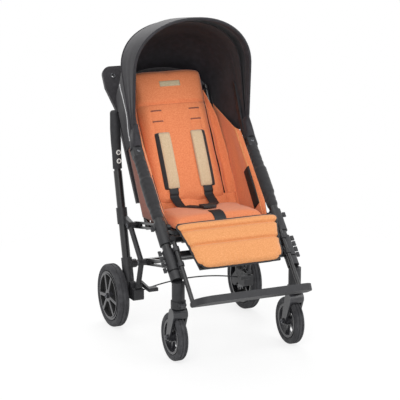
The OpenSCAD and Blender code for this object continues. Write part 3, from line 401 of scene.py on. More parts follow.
def stuffed(name, node, voxel, swell, cap):
    """A cloth cover blown up on the form of a CAD pad: shrunk by swell, then let out by cap at most."""
    pad = bpy.data.objects.new(name, nodes[node].data.copy())
    bpy.context.collection.objects.link(pad)
    edit(pad)
    bpy.ops.mesh.select_all(action="SELECT")
    bpy.ops.mesh.remove_doubles(threshold=0.1 * mm)
    bpy.ops.transform.shrink_fatten(value=-swell)
    bpy.ops.object.mode_set(mode="OBJECT")
    remesh = pad.modifiers.new("Remesh", "REMESH")
    remesh.mode, remesh.voxel_size = "VOXEL", voxel
    bpy.ops.object.modifier_apply(modifier=remesh.name)
    pressure, frames = 4, 20
    start = [v.co.copy() for v in pad.data.vertices]
    cloth = pad.modifiers.new("Cloth", "CLOTH")
    cloth.settings.use_pressure = True
    cloth.settings.uniform_pressure_force = pressure
    cloth.settings.effector_weights.gravity = 0
    for moment in range(1, frames + 1):
        bpy.context.scene.frame_set(moment)
    bpy.ops.object.modifier_apply(modifier=cloth.name)
    bpy.context.scene.frame_set(1)
    for vertex, before in zip(pad.data.vertices, start):
        move = vertex.co - before
        if move.length > cap:
            vertex.co = before + move * cap / move.length
    smooth = pad.modifiers.new("Smooth", "SMOOTH")
    smooth.iterations = 3
    bpy.ops.object.modifier_apply(modifier=smooth.name)
    fine = pad.modifiers.new("Subdivision", "SUBSURF")
    fine.levels = fine.render_levels = 1
    bpy.ops.object.modifier_apply(modifier=fine.name)
    bpy.ops.object.shade_smooth()
    bpy.context.view_layer.update()
    return pad


def local_axes(origin, along, out):
    """Axes set on a panel: Y along it, Z out of its face."""
    return Matrix.Translation(origin) @ Matrix((along.cross(out), along, out)).transposed().to_4x4()


def round_corners(pad, axes, half, length, radius):
    """Turns the two lower corners of a pad to a radius; half gives its half width at a length along it."""
    inverse = axes.inverted()
    for vertex in pad.data.vertices:
        spot = inverse @ vertex.co
        out, down = abs(spot.x) - half(spot.y) + radius, spot.y - length + radius
        if out > 0 and down > 0:
            shrink = max(out, down) / math.hypot(out, down)
            spot.x = math.copysign(half(spot.y) - radius + out * shrink, spot.x)
            spot.y = length - radius + down * shrink
            vertex.co = axes @ spot
    bpy.context.view_layer.update()


def press(pad, axes, above, depth):
    """Draws the face of a pad in, where it is higher than above, by the depth at x, y on its panel."""
    inverse = axes.inverted()
    for vertex in pad.data.vertices:
        spot = inverse @ vertex.co
        if spot.z > above:
            vertex.co -= axes.to_3x3() @ Vector((0, 0, depth(spot.x, spot.y)))
    bpy.context.view_layer.update()


def ditch(offset, width):
    """The depth, from 0 to 1, of a sewn line at an offset from its middle."""
    return math.exp(-(offset / width) ** 2)


seat_orange = melange("orange melange seat cloth", ["d4764a", "dc8153", "e48e61"])
seat_tilt = math.radians(-3.183)
seat_cushion = stuffed("seat_cover", "seat_cushion", 6 * mm, 3 * mm, 7 * mm)
wear(seat_orange, [seat_cushion])
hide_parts("seat_cushion")
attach(seat_cushion, "front_frame")


# Calf pad
# A thinner pad on a board hung in front of the seat, sewn through along two channels.
# It is cut from a lighter orange and edged all round with black piping.
def piping(name, pad, axes, height, radius, material):
    """A round cord along the line where a plane parallel to the panel cuts the pad."""
    cord = bpy.data.objects.new(name, pad.data.copy())
    bpy.context.collection.objects.link(cord)
    edit(cord)
    bpy.ops.mesh.select_all(action="SELECT")
    normal = axes.to_3x3() @ Vector((0, 0, 1))
    bpy.ops.mesh.bisect(plane_co=axes @ Vector((0, 0, height)), plane_no=normal,
                        clear_inner=True, clear_outer=True)
    bpy.ops.mesh.select_all(action="SELECT")
    bpy.ops.mesh.remove_doubles(threshold=2 * mm)
    bpy.ops.object.mode_set(mode="OBJECT")
    bpy.ops.object.convert(target="CURVE")
    cord = bpy.context.object
    cord.data.bevel_depth = radius
    cord.data.bevel_resolution = 3
    bpy.ops.object.convert(target="MESH")
    cord = bpy.context.object
    cord.name = name
    bpy.ops.object.shade_smooth()
    wear(material, [cord])
    return cord


cloth_grain = (3 * mm, 0.4 * mm, 0.4)
black_cloth = tinted("black woven polyester", 0.8, ["141316", "1f1e21"], 9 * mm, 5.0, bump=cloth_grain,
                     Sheen_Weight=0.2)[0]

calf_lean = math.radians(45)
calf_down = Vector((0, -math.sin(calf_lean), -math.cos(calf_lean)))
calf_out = Vector((0, -math.cos(calf_lean), math.sin(calf_lean)))
calf_board_t, calf_length = 8 * mm, 206 * mm
bar_low, bar_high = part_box("seat_crossbar")
seat_bar = (bar_low + bar_high) / 2
calf_top = seat_bar + Vector((0, -5 * mm, 53 * mm))
calf_axes = local_axes(calf_top, calf_down, calf_out)
calf_top_half, calf_low_half = 212 * mm, 173 * mm


def calf_half(y):
    """Half the pad's width at y along it, from its top."""
    return calf_top_half + (calf_low_half - calf_top_half) * y / calf_length


calf_orange = melange("light orange melange calf cloth", ["cb8650", "d38f59", "dc9b67"])
calf_pad = stuffed("calf_cover", "calf_pad", 5 * mm, 2.5 * mm, 6 * mm)
calf_corner_r, calf_piping_rise, calf_piping_r = 46 * mm, 9 * mm, 4 * mm
calf_seams, calf_seam_depth, calf_seam_w, calf_face = (0.2, 0.5), 9 * mm, 5 * mm, 12 * mm
pucker_reach, pucker_depth, pucker_pitch = 55 * mm, 1.8 * mm, 24 * mm
round_corners(calf_pad, calf_axes, calf_half, calf_length, calf_corner_r)
calf_piping = piping("calf_piping", calf_pad, calf_axes, calf_board_t + calf_piping_rise, calf_piping_r,
                     black_cloth)
for share in calf_seams:
    press(calf_pad, calf_axes, calf_board_t + calf_face,
          lambda x, y: calf_seam_depth * ditch(y - share * calf_length, calf_seam_w))


def pucker(x, y):
    """The puckers of the calf cover, where it is gathered into its lower edge."""
    near = max(0.0, 1 - abs(calf_length - 0.45 * pucker_reach - y) / pucker_reach)
    wave = math.sin(2 * math.pi * x / pucker_pitch + 1.7 * math.sin(x * 31)) * math.sin(x * 17 + 1)
    return -pucker_depth * near * wave


press(calf_pad, calf_axes, -math.inf, pucker)
wear(calf_orange, [calf_pad])
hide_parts("calf_pad")
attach(calf_pad, "front_frame")
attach(calf_piping, "front_frame")


# Side panels
# Cloth wings from the backrest to the front tubes, lightly padded, orange inside and rust outside.
# Each is sewn to the sleeve of the front tube and carries a strip of black webbing on its inner face.
def cord_along(name, points, radius, material):
    """A round cord through points."""
    path = bpy.data.curves.new(name, "CURVE")
    path.dimensions = "3D"
    path.bevel_depth, path.bevel_resolution = radius, 3
    path.use_fill_caps = True
    spline = path.splines.new("POLY")
    spline.points.add(len(points) - 1)
    for spot, point in zip(spline.points, points):
        spot.co = (*point, 1)
    cord = bpy.data.objects.new(name, path)
    bpy.context.collection.objects.link(cord)
    bpy.ops.object.select_all(action="DESELECT")
    cord.select_set(True)
    bpy.context.view_layer.objects.active = cord
    bpy.ops.object.convert(target="MESH")
    cord = bpy.context.object
    bpy.ops.object.shade_smooth()
    wear(material, [cord])
    return cord


def on_pad(pad, axes, x, y, lift):
    """The point lift above a pad's face at x, y on its panel."""
    reach = 200 * mm
    origin = axes @ Vector((x, y, reach))
    down = axes.to_3x3() @ Vector((0, 0, -1))
    hit, spot, normal, face = pad.ray_cast(origin, down)
    return spot - down * lift if hit else origin + down * (reach - lift)


webbing, shader, place = new_material("black polyester webbing", 0.65)
rib_pitch = 5 * mm
settings = {"Scale": math.pi / (10 * rib_pitch), "bands_direction": "X"}
ribs = add_node(webbing, "ShaderNodeTexWave", settings, {"Vector": place})
tint = ramp(webbing, ribs.outputs["Fac"], ["0e0e10", "1c1c1f"])
webbing.node_tree.links.new(tint, shader.inputs["Base Color"])
relief(webbing, shader, ribs.outputs["Fac"], 0.4 * mm, 0.5)

rust_cloth = melange("rust melange lining cloth", ["6b3d31", "7f4b3d", "93594a"])
front_lean, back_lean = math.radians(42), math.radians(30)
back_up = Vector((0, math.sin(back_lean), math.cos(back_lean)))
back_out = Vector((0, -math.cos(back_lean), math.sin(back_lean)))
back_pivot = pivot("recline")


def front_point(z):
    """A point on the axis of the front tubes, in the middle plane."""
    return Vector((0, seat_bar.y + (z - seat_bar.z) * math.tan(front_lean), z))


def back_point(z):
    """A point on the axis of the back tubes, in the middle plane."""
    return Vector((0, back_pivot.y + (z - back_pivot.z) * math.tan(back_lean), z))


wing_low = [front_point(448 * mm), back_point(436 * mm)]
wing_high = [front_point(732 * mm), back_point(800 * mm)]
wing_t, wing_hollow, wing_folds, wing_hem_r, wing_piping_r = 3 * mm, 5 * mm, 1.5 * mm, 2.4 * mm, 3 * mm
wing_x, sewn_x, sewn_share, sewn_rise = 192.5 * mm, 207.5 * mm, 0.16, 0.2
wing_blend = [back_point(620 * mm) + back_out * reach for reach in (130 * mm, 8 * mm)]
strip_top, strip_foot, strip_w = (-58 * mm, 600 * mm), (40 * mm, 480 * mm), 46 * mm
strip_lift, strip_t, strip_slant = 1.6 * mm, 2 * mm, (0.75, 0.66)
strip_origin, steps, hem_start, piping_share = -120 * mm, 24, 0.02, 0.1
for side, word in sides:
    def wing(u, v):
        flat = wing_low[0].lerp(wing_low[1], u).lerp(wing_high[0].lerp(wing_high[1], u), v)
        loose = math.sin(math.pi * u) * math.sin(math.pi * v)
        slack = (wing_hollow + wing_folds * math.sin(13 * u + 4 * v)) * loose
        sewn = (sewn_x - wing_x) * max(0.0, 1 - u / sewn_share) ** 2 * min(1.0, v / sewn_rise)
        return Vector((side * (wing_x + slack + sewn), flat.y, flat.z))

    panel = sheet_piece(f"side_wing_{word}", 40, 40, wing)
    thicken(panel, wing_t, 0)
    wear(seat_orange, [panel])
    panel.data.materials.append(rust_cloth)
    for face in panel.data.polygons:
        face.material_index = 1 if face.normal.x * side > 0 else 0
    top_line = [wing(hem_start + (1 - hem_start) * k / steps, 1) for k in range(steps + 1)]
    hem = cord_along(f"side_wing_hem_{word}", top_line, wing_hem_r, seat_orange)
    front_line = [wing(piping_share, k / steps) for k in range(steps + 1)]
    edge = cord_along(f"side_wing_piping_{word}", front_line, wing_piping_r, calf_orange)
    wing_axes = local_axes(Vector((side * wing_x, 0, 0)), Vector((0, 0, 1)), Vector((-side, 0, 0)))

    def strip_point(u, v):
        f = strip_top[0] + (strip_foot[0] - strip_top[0]) * v + (u - 0.5) * strip_w * strip_slant[0]
        z = strip_top[1] + (strip_foot[1] - strip_top[1]) * v + (u - 0.5) * strip_w * strip_slant[1]
        y = back_pivot.y - (f - strip_origin)
        return on_pad(panel, wing_axes, -side * y, z, strip_lift)

    strip = sheet_piece(f"side_strip_{word}", 8, 30, strip_point)
    thicken(strip, strip_t, 0)
    wear(webbing, [strip])
    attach(strip, "front_frame")
    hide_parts(f"side_panel_{word}")
    for piece in (panel, hem, edge):
        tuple(wing_blend[0])
        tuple(wing_blend[1])
        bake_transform(piece)


# Seat sling
# A plain grey cloth slung under the seat board between its side rails, which closes the seat from below.
# It hangs in a shallow bag and is hemmed round the board.
sling_cloth = tinted("grey polyester sling cloth", 0.85, ["4a494c", "57565a", "656468"], 9 * mm, 5.0,
                     bump=cloth_grain, Sheen_Weight=0.2)[0]
board_low, board_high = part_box("seat_board")
sling_share, sling_hem, sling_clear, sling_t = 0.98, 8 * mm, 2 * mm, 2 * mm
sling_sag, sling_ends, sling_folds = 58 * mm, 0.35, 2 * mm


def sling_point(u, v):
    """Across and along the sling, which hangs deepest in its middle."""
    bag = math.sin(math.pi * u) ** 0.6 * (sling_ends + (1 - sling_ends) * math.sin(math.pi * v))
    return Vector(((u - 0.5) * 2 * board_high.x * sling_share,
                   board_low.y + sling_hem + (board_high.y - board_low.y - 2 * sling_hem) * v,
                   board_low.z - sling_clear - sling_sag * bag + sling_folds * math.sin(21 * u + 9 * v)))


sling = sheet_piece("seat_sling", 36, 24, sling_point)
thicken(sling, sling_t, 0)
wear(sling_cloth, [sling])
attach(sling, "front_frame")


# Tube sleeves
# Quilted black covers zipped round the front tubes, with a wide turned hem at the middle.
# They sit loosely, so they ruck up a little along their length.
sleeve_axis = Vector((0, math.sin(front_lean), math.cos(front_lean)))
sleeve_side = Vector((0, math.cos(front_lean), -math.sin(front_lean)))
tube_r, sleeve_clear, sleeve_cut_r = 17 * mm, 0.6 * mm, 21 * mm
sleeve_pad, hem_pad, ruck = 3.0 * mm, 3.6 * mm, 0.45 * mm
hem_low, hem_high, hem_edge, end_share, end_edge = 0.2, 0.6, 0.008, 0.015, 0.006


def step(value, at, width):
    """Rises smoothly from 0 to 1 about at."""
    return 1 / (1 + math.exp(-(value - at) / width))


for side, word in sides:
    low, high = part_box(f"front_tube_{word}")
    tube_mid = (low + high) / 2
    low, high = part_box(f"tube_sleeve_{word}")
    cut = sleeve_cut_r * math.sin(front_lean)
    start = tube_mid + sleeve_axis * (low.z + cut - tube_mid.z) / math.cos(front_lean)
    end = tube_mid + sleeve_axis * (high.z - cut - tube_mid.z) / math.cos(front_lean)

    def sleeve(u, v):
        turn = 2 * math.pi * u
        ends = step(v, end_share, end_edge) * step(1 - v, end_share, end_edge)
        hem = step(v, hem_low, hem_edge) * step(hem_high, v, hem_edge)
        rucks = math.sin(70 * v + 2.2 * math.sin(turn)) + 0.6 * math.sin(113 * v + 1.7 * math.cos(2 * turn))
        padding = sleeve_pad + hem_pad * hem + ruck * rucks * (1 - 0.6 * hem)
        radius = tube_r + sleeve_clear + ends * padding
        spoke = Vector((math.cos(turn), 0, 0)) + sleeve_side * math.sin(turn)
        return start.lerp(end, v) + spoke * radius

    cover = sheet_piece(f"tube_cover_{word}", 40, 110, sleeve)
    face_out(cover, 0.05 * mm)
    wear(black_cloth, [cover])
    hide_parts(f"tube_sleeve_{word}")
    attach(cover, "front_frame")


# Back shell and back pad
# A stiff cloth-covered shell is laced behind the back tubes through eyelets in its corners.
# In front of it lies the long foam back pad, sewn through below the head and slit for the straps.
back_axes = local_axes(back_pivot, back_up, back_out)

shell_cloth = tinted("charcoal coated canvas", 0.7, ["1e1c20", "272529", "302e32"], 14 * mm, 5.0,
                     bump=cloth_grain, Sheen_Weight=0.15)[0]
wear(shell_cloth, [nodes["back_shell"]])
eyelet_x, eyelet_y, eyelet_tilt = 188 * mm, 608 * mm, math.pi / 2 - back_lean
eyelet_r, eyelet_wire_r, shell_faces = 8 * mm, 2.2 * mm, (("front", -10.6 * mm), ("back", -25.8 * mm))
for side, word in sides:
    for face, depth in shell_faces:
        spot = back_axes @ Vector((side * eyelet_x, eyelet_y, depth))
        bpy.ops.object.select_all(action="DESELECT")
        ring(f"shell_eyelet_{word}_{face}", spot, (eyelet_tilt, 0, 0), eyelet_r, eyelet_wire_r, zinc,
             "backrest")

back_pad = stuffed("back_cover", "back_pad", 6 * mm, 3 * mm, 7 * mm)
pad_foot, pad_length, pad_face, head_share = 60 * mm, 544 * mm, 25 * mm, 0.728
seam_depth, seam_w, fold_low, fold_depth, fold_w, fold_fade = (v * mm for v in (6, 5, 110, 2.5, 4, 14))
head_seam = pad_foot + head_share * pad_length
press(back_pad, back_axes, pad_face, lambda x, y: seam_depth * ditch(y - head_seam, seam_w))
slit_x, slit_w, slit_rows = 78 * mm, 43 * mm, (385 * mm, 427 * mm)
for fold_x in (slit_x - slit_w / 2, slit_x + slit_w / 2):
    for side in (1, -1):
        press(back_pad, back_axes, pad_face, lambda x, y: fold_depth * ditch(x - side * fold_x, fold_w)
              * step(y, fold_low, fold_fade) * step(slit_rows[1], y, fold_fade))
wear(seat_orange, [back_pad])

# Gussets: strips of the same cover, let in between the pad and the wings, that hide the back tubes.
gusset_t, gusset_in, gusset_w, gusset_hollow, gusset_folds = 3 * mm, 146 * mm, 46 * mm, 20 * mm, 2 * mm
gusset_drop, gusset_trim, gusset_lift = 26 * mm, 70 * mm, 34 * mm
flap_w, flap_foot, flap_h, flap_lift, flap_folds = 372 * mm, 14 * mm, 76 * mm, 33 * mm, 3 * mm
flap = sheet_piece("gusset", 40, 10, lambda u, v: back_axes @ Vector((
    (u - 0.5) * flap_w, flap_foot + flap_h * v, flap_lift + flap_folds * math.sin(19 * u))))
thicken(flap, gusset_t, 0)
gussets = [flap]
for side in (1, -1):
    gusset = sheet_piece("gusset", 14, 60, lambda u, v: back_axes @ Vector((
        side * (gusset_in + gusset_w * u * (1 - v ** 5)), pad_foot - gusset_drop + (pad_length - gusset_trim) * v,
        gusset_lift - gusset_hollow * math.sin(math.pi * u) + gusset_folds * math.sin(23 * v + 3 * u))))
    thicken(gusset, gusset_t, 0)
    gussets.append(gusset)
wear(seat_orange, gussets)
for piece in gussets + [back_pad]:
    piece.select_set(True)
bpy.context.view_layer.objects.active = back_pad
bpy.ops.object.join()
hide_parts("back_pad")
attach(back_pad, "backrest")

# Blank label: a small woven patch sewn on the head of the back pad.
label_cloth = tinted("beige woven label", 0.75, ["a8977a", "c2b394"], 3 * mm)[0]
label_w, label_h, label_y, label_t, label_lift = 84 * mm, 22 * mm, 532 * mm, 1.2 * mm, 0.8 * mm
label = sheet_piece("blank_label", 16, 6, lambda u, v: on_pad(
    back_pad, back_axes, (u - 0.5) * label_w, label_y + (v - 0.5) * label_h, label_lift))
thicken(label, label_t, 0)
wear(label_cloth, [label])
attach(label, "backrest")

# Strap slits: bound slots in two rows, through which the harness can be raised as the child grows.
slit_h, slit_lift, slit_t = 5 * mm, 0.5 * mm, 1.0 * mm
for side, word in sides:
    for k, height in enumerate(slit_rows):
        slit = sheet_piece(f"strap_slit_{word}_{k}", 14, 4, lambda u, v: on_pad(
            back_pad, back_axes, side * slit_x + (u - 0.5) * slit_w, height + (v - 0.5) * slit_h, slit_lift))
        thicken(slit, slit_t, 0)
        wear(rust_cloth, [slit])
        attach(slit, "backrest")


# Harness
# Shoulder pads in brushed beige cloth over a black back, on black polyester webbing.
# The webbing comes out under the pads, runs down to the seat and meets at a buckle in the middle.
brushed = tinted("brushed beige cloth", 0.9, ["bfa685", "c8b08f", "d1ba9a"], 4 * mm, 5.0, bump=cloth_grain,
                 Sheen_Weight=0.3)[0]

pad_swell, pad_foot_t = 24 * mm, 47 * mm
wedge = math.atan(pad_swell / pad_length)
strap_up = back_up * math.cos(wedge) + back_out * math.sin(wedge)
strap_out = back_out * math.cos(wedge) - back_up * math.sin(wedge)
strap_axes = local_axes(back_pivot + back_up * pad_foot + back_out * pad_foot_t, strap_up, strap_out)
seat_along = Vector((0, math.cos(seat_tilt), math.sin(seat_tilt)))
seat_out = Vector((0, -math.sin(seat_tilt), math.cos(seat_tilt)))
seat_axes = local_axes(seat_bar, seat_along, seat_out)
strap_x, strap_w, strap_t, strap_lift, strap_over = 70 * mm, 36 * mm, 2 * mm, 4 * mm, 2 * mm
strap_on_back = (80 * mm, 60 * mm, 42 * mm, 26 * mm)
strap_on_seat = [(x * mm, y * mm) for x, y in ((67, 218), (54, 192), (34, 168), (16, 148), (2, 136))]
shoulder_low, shoulder_l, shoulder_skin = 58 * mm, 222 * mm, 2 * mm


def smooth_path(points, count):
    """Points spaced along a smooth curve through those given."""
    ends = [2 * points[0] - points[1]] + points + [2 * points[-1] - points[-2]]
    path = []
    for k in range(count):
        place = k / (count - 1) * (len(points) - 1)
        i = min(int(place), len(points) - 2)
        t, (a, b, c, d) = place - i, ends[i:i + 4]
        bend, twist = 2 * a - 5 * b + 4 * c - d, 3 * b - a - 3 * c + d
        path.append(0.5 * (2 * b + t * (c - a) + t * t * bend + t ** 3 * twist))
    return path


def ribbon(name, points, normals):
    """Harness webbing through points, lying across the normals given there."""
    count = 60
    path, faces = smooth_path(points, count), smooth_path(normals, count)

    def strap(u, v):
        k = round(v * (count - 1))
        ahead = path[min(k + 1, count - 1)] - path[max(k - 1, 0)]
        return path[k] + ahead.cross(faces[k]).normalized() * (u - 0.5) * strap_w

    piece = sheet_piece(name, 6, count - 1, strap)
    thicken(piece, strap_t, 0)
    wear(webbing, [piece])
    return piece


straps, shoulder_pads = [], []
for side, word in sides:
    def padding(middle, width, low, thickness):
        def shape(u, v):
            x, y = 2 * u - 1, 2 * v - 1
            corner = 1 - 0.04 * abs(x * y) ** 6
            crown = (1 - abs(x) ** 4) ** 0.5 * (1 - abs(y) ** 8) ** 0.5
            return on_pad(back_pad, strap_axes, side * middle + x * corner * width / 2,
                          shoulder_low + shoulder_l * (0.5 + y * corner / 2), low + thickness * crown)
        return shape

    for name, middle, width, low, thickness, cloth, slot in (
            ("shoulder_pad", strap_x - 3 * mm, 50 * mm, 2 * mm, 10 * mm, brushed, "beige_pad"),
            ("shoulder_backing", strap_x + 5 * mm, 58 * mm, 1 * mm, 7 * mm, black_cloth, "black_cloth")):
        pad = sheet_piece(f"{name}_{word}", 24, 60, padding(middle, width, low, thickness))
        thicken(pad, shoulder_skin, -1)
        wear(cloth, [pad])
        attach(pad, "backrest")
        shoulder_pads.append(pad)
    points = [on_pad(back_pad, strap_axes, side * strap_x, y, strap_lift) for y in strap_on_back]
    normals = [strap_out] * len(points)
    for x, y in strap_on_seat:
        lift = strap_lift + (strap_over if side > 0 else 0)
        points.append(on_pad(seat_cushion, seat_axes, side * x, y, lift))
        normals.append(seat_out)
    strap = ribbon(f"harness_strap_{word}", points, normals)
    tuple(points[4])
    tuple(points[2])
    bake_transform(strap)
    straps.append(strap)
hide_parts("shoulder_pads")
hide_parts("shoulder_straps", "lap_belt")

crotch_w, crotch_front, crotch_l, crotch_lift, crotch_t = 46 * mm, 12 * mm, 66 * mm, 2 * mm, 2.4 * mm
crotch = sheet_piece("crotch_webbing", 8, 30, lambda u, v: on_pad(
    seat_cushion, seat_axes, (u - 0.5) * crotch_w, crotch_front + crotch_l * v, crotch_lift))
thicken(crotch, crotch_t, 0)
wear(webbing, [crotch])
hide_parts("crotch_strap")
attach(crotch, "front_frame")

buckle_size, buckle_y, buckle_lift = (52 * mm, 46 * mm, 12 * mm), 128 * mm, 9 * mm
button_edge, button_sink = 8 * mm, 3 * mm
buckle_spot = on_pad(seat_cushion, seat_axes, 0, buckle_y, buckle_lift)
bpy.ops.mesh.primitive_cube_add(size=1, location=buckle_spot, rotation=(seat_tilt, 0, 0), scale=buckle_size)
bpy.ops.object.transform_apply(location=True, rotation=True, scale=True)
buckle = bpy.context.object
buckle.name = "harness_buckle"
mesh = edit(buckle)
for face in mesh.faces:
    face.select = face.normal.z > 0.9
bpy.ops.mesh.inset(thickness=button_edge)
bpy.ops.transform.translate(value=seat_out * -button_sink)
close()
bevel_edges(buckle, 3 * mm, 3)
wear(nylon, [buckle])
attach(buckle, "front_frame")


# Hood
# Charcoal polyester on two bows: a front part that tilts back over a rear part laced to the back shell.
# Its front edge is turned in and padded, and a pale reflective piping runs down each side.
hood_cloth = tinted("charcoal polyester hood cloth", 0.72, ["110f14", "19171d", "232027"], 18 * mm, 6.0,
                    bump=(4 * mm, 0.5 * mm, 0.4), bump_detail=4.0, Sheen_Weight=0.08)[0]
reflective = tinted("reflective piping", 0.35, ["c2c2c4", "dededf"], 5 * mm)[0]

hood_pivot = pivot("hood_tilt")
hood_half, hood_top, hood_t = 235 * mm, 445 * mm, 3 * mm
hood_arch, hood_power, side_share = 185 * mm, 2.15, 0.27
hood_front_angle, hood_split_angle = math.radians(-4), math.radians(22)
hood_tuck_angle, hood_lap_angle = math.radians(6), math.radians(18)
front_start, front_sag, front_folds, front_draw = 14 * mm, 4 * mm, 1.4 * mm, 3 * mm
rear_start, rear_swell, rear_folds, rear_taper = 24 * mm, 24 * mm, (3.5 * mm, 2.2 * mm), 0.126
shell_low, shell_rise, shell_gap = 300 * mm, 330 * mm, 9 * mm
tuck_share, nest_front, nest_back, nest_end, nest_rise = 0.17, 18 * mm, 6 * mm, 0.45, 0.6
band_start, band_share, band_in, band_swell, band_t = 0.01, 0.24, 4 * mm, 7 * mm, 2 * mm
roll_in, roll_r, hem_in, hem_r, seam_r = 2 * mm, 6 * mm, 5 * mm, 3.6 * mm, 3 * mm
trim_low, trim_place, trim_bow, trim_r = 0.02, 0.68, 0.09, 2.2 * mm


def arch_point(u, half, top, start):
    """Across and up on the hood's arch: straight sides under a flattened crown."""
    if u < side_share or u > 1 - side_share:
        rise = min(u, 1 - u) / side_share
        return math.copysign(half, u - 0.5), start + (top - hood_arch - start) * rise
    turn = math.pi * (u - side_share) / (1 - 2 * side_share)
    across = -math.copysign(abs(math.cos(turn)) ** (2 / hood_power), math.cos(turn))
    return half * across, top - hood_arch + hood_arch * math.sin(turn) ** (2 / hood_power)


def hood_front_point(u, v, inset=0.0):
    """The front part, between its bows: slack in the middle and drawn in at the sides."""
    x, r = arch_point(u, hood_half - inset, hood_top - inset, front_start)
    angle = hood_front_angle + (hood_split_angle - hood_front_angle) * v
    slack = math.sin(math.pi * v) * (r / hood_top) ** 2
    folds = math.sin(31 * u + 4 * v) + 0.7 * math.sin(57 * u - 5 * v)
    r -= front_sag * slack + front_folds * slack * folds
    low = math.sin(math.pi * v) * (1 - r / hood_top) ** 2
    x -= math.copysign(low * front_draw * (1 + math.sin(17 * v + 9 * r)), x)
    return hood_pivot + Vector((x, r * math.sin(angle), r * math.cos(angle)))


def hood_rear_point(u, v):
    """The rear part: tucked under the front part along an arc, and then drawn back to the shell."""
    half, top = hood_half - nest_back, hood_top - nest_back
    x, r = arch_point(u, half, top, rear_start)
    tuck = min(v / tuck_share, 1)
    v = max((v - tuck_share) / (1 - tuck_share), 0)
    ease = min(v / nest_end, 1)
    nest = (nest_front - nest_back) * (1 - ease * ease * (3 - 2 * ease)) * min(r / (nest_rise * top), 1)
    x, r = x * (1 - nest / half), r * (1 - nest / top)
    angle = hood_tuck_angle + (hood_lap_angle - hood_tuck_angle) * tuck
    front = hood_pivot + Vector((0, r * math.sin(angle), r * math.cos(angle)))
    rise = shell_low + shell_rise * (r - rear_start) / (top - rear_start)
    back = back_pivot + back_up * rise - back_out * shell_gap
    here = front.lerp(back, v)
    folds = rear_folds[0] * math.sin(26 * u + 7 * v) + rear_folds[1] * math.sin(47 * u - 9 * v)
    swell = math.sin(math.pi * v) * (rear_swell * r / top - folds)
    across = Vector((x * (1 - rear_taper * v * (2 - v)), 0, 0))
    return here + (here - hood_pivot).normalized() * swell + across


def hood_sheet(name, rows, point):
    """One cut of hood cloth, with its area as it lies flat."""
    cover = sheet_piece(name, 90, rows, point)
    face_out(cover)
    area = sum(face.area for face in cover.data.polygons)
    thicken(cover, hood_t, -1, 1)
    wear(hood_cloth, [cover])
    return cover, area


hood_blend = [back_point(900 * mm) + back_out * reach for reach in (150 * mm, 0)]
cover, area = hood_sheet("hood_cover_front", 14, hood_front_point)
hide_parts("hood_front")
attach(cover, "hood")
cover, area = hood_sheet("hood_cover_rear", 26, hood_rear_point)
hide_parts("hood_rear")
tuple(hood_blend[0])
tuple(hood_blend[1])
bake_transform(cover)

# Turned front edge: a padded band inside the cloth, between the front roll and an inner seam.
band = sheet_piece("hood_front_band", 90, 10, lambda u, v: hood_front_point(
    u, band_start + (band_share - band_start) * v, band_in + band_swell * math.sin(math.pi * v)))
thicken(band, band_t, 1)
wear(hood_cloth, [band])
steps = 72


def hood_cord(name, v, inset, radius):
    """A cord sewn along the front part from side to side."""
    line = [hood_front_point(k / steps, v, inset) for k in range(steps + 1)]
    return cord_along(name, line, radius, hood_cloth)


roll = hood_cord("hood_front_roll", 0.0, roll_in, roll_r)
hem = hood_cord("hood_front_hem", band_share, hem_in, hem_r)
seam = hood_cord("hood_split_seam", 1.0, 0.0, seam_r)
for piece in (band, roll, hem, seam):
    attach(piece, "hood")
for side, word in sides:
    trim_high = side_share + trim_low
    line = [trim_low + (trim_high - trim_low) * k / steps for k in range(steps + 1)]
    path = [hood_rear_point(0.5 + side * (0.5 - u), trim_place - trim_bow * math.sin(math.pi * u / trim_high))
            for u in line]
    trim = cord_along(f"hood_piping_{word}", path, trim_r, reflective)
    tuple(hood_blend[0])
    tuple(hood_blend[1])
    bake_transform(trim)


# Hood clamps
# Blocks of moulded nylon that grip the ends of the front tubes below the hood's pivots.
# A cuff of hood cloth is gathered over each of them.
clamp_size, clamp_z, clamp_bolt_r, bolt_sink = (38 * mm, 40 * mm, 44 * mm), 690 * mm, 6 * mm, 1 * mm
cuff_foot, cuff_head, cuff_rise, cuff_t = (22 * mm, 25 * mm), (9 * mm, 34 * mm), 16 * mm, 2 * mm
cuff_top, cuff_gathers = (226 * mm, 6 * mm, 46 * mm), 0.09
for side, word in sides:
    low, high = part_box(f"front_tube_{word}")
    spot = front_point(clamp_z) + Vector(((low.x + high.x) / 2, 0, 0))
    bpy.ops.mesh.primitive_cube_add(size=1, location=spot, rotation=(-front_lean, 0, 0), scale=clamp_size)
    bpy.ops.object.transform_apply(location=True, rotation=True, scale=True)
    block = bpy.context.object
    block.name = f"hood_clamp_{word}"
    bevel_edges(block, 6 * mm, 3)
    wear(nylon, [block])
    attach(block, "front_frame")
    bolt_spot = spot - sleeve_side * (clamp_size[1] / 2 - bolt_sink)
    bolt(f"hood_clamp_bolt_{word}", bolt_spot, -sleeve_side, clamp_bolt_r, "front_frame")
    top = Vector((side * cuff_top[0], hood_pivot.y + cuff_top[1], hood_pivot.z + cuff_top[2]))

    def cuff(u, v):
        turn = 2 * math.pi * u
        gathers = 1 + cuff_gathers * math.sin(9 * turn / 2 + 5 * v) * math.sin(math.pi * v)
        across, along = (foot + (head - foot) * v for foot, head in zip(cuff_foot, cuff_head))
        middle = (spot + sleeve_axis * cuff_rise).lerp(top, v)
        return middle + gathers * (Vector((math.cos(turn) * across, 0, 0)) + sleeve_side * math.sin(turn) * along)

    boot = sheet_piece(f"hood_cuff_{word}", 48, 20, cuff)
    thicken(boot, cuff_t, 0)
    wear(hood_cloth, [boot])
    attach(boot, "front_frame")


# Floor, light and camera
# A pale floor under a white surround, soft lamps from above and in front, and the photograph's camera.
bpy.ops.mesh.primitive_plane_add(size=40)
floor = bpy.context.object
floor.name = "studio_floor"
pale, shader, place = new_material("pale studio floor", 0.9)
shader.inputs["Base Color"].default_value = linear("f4f4f4")


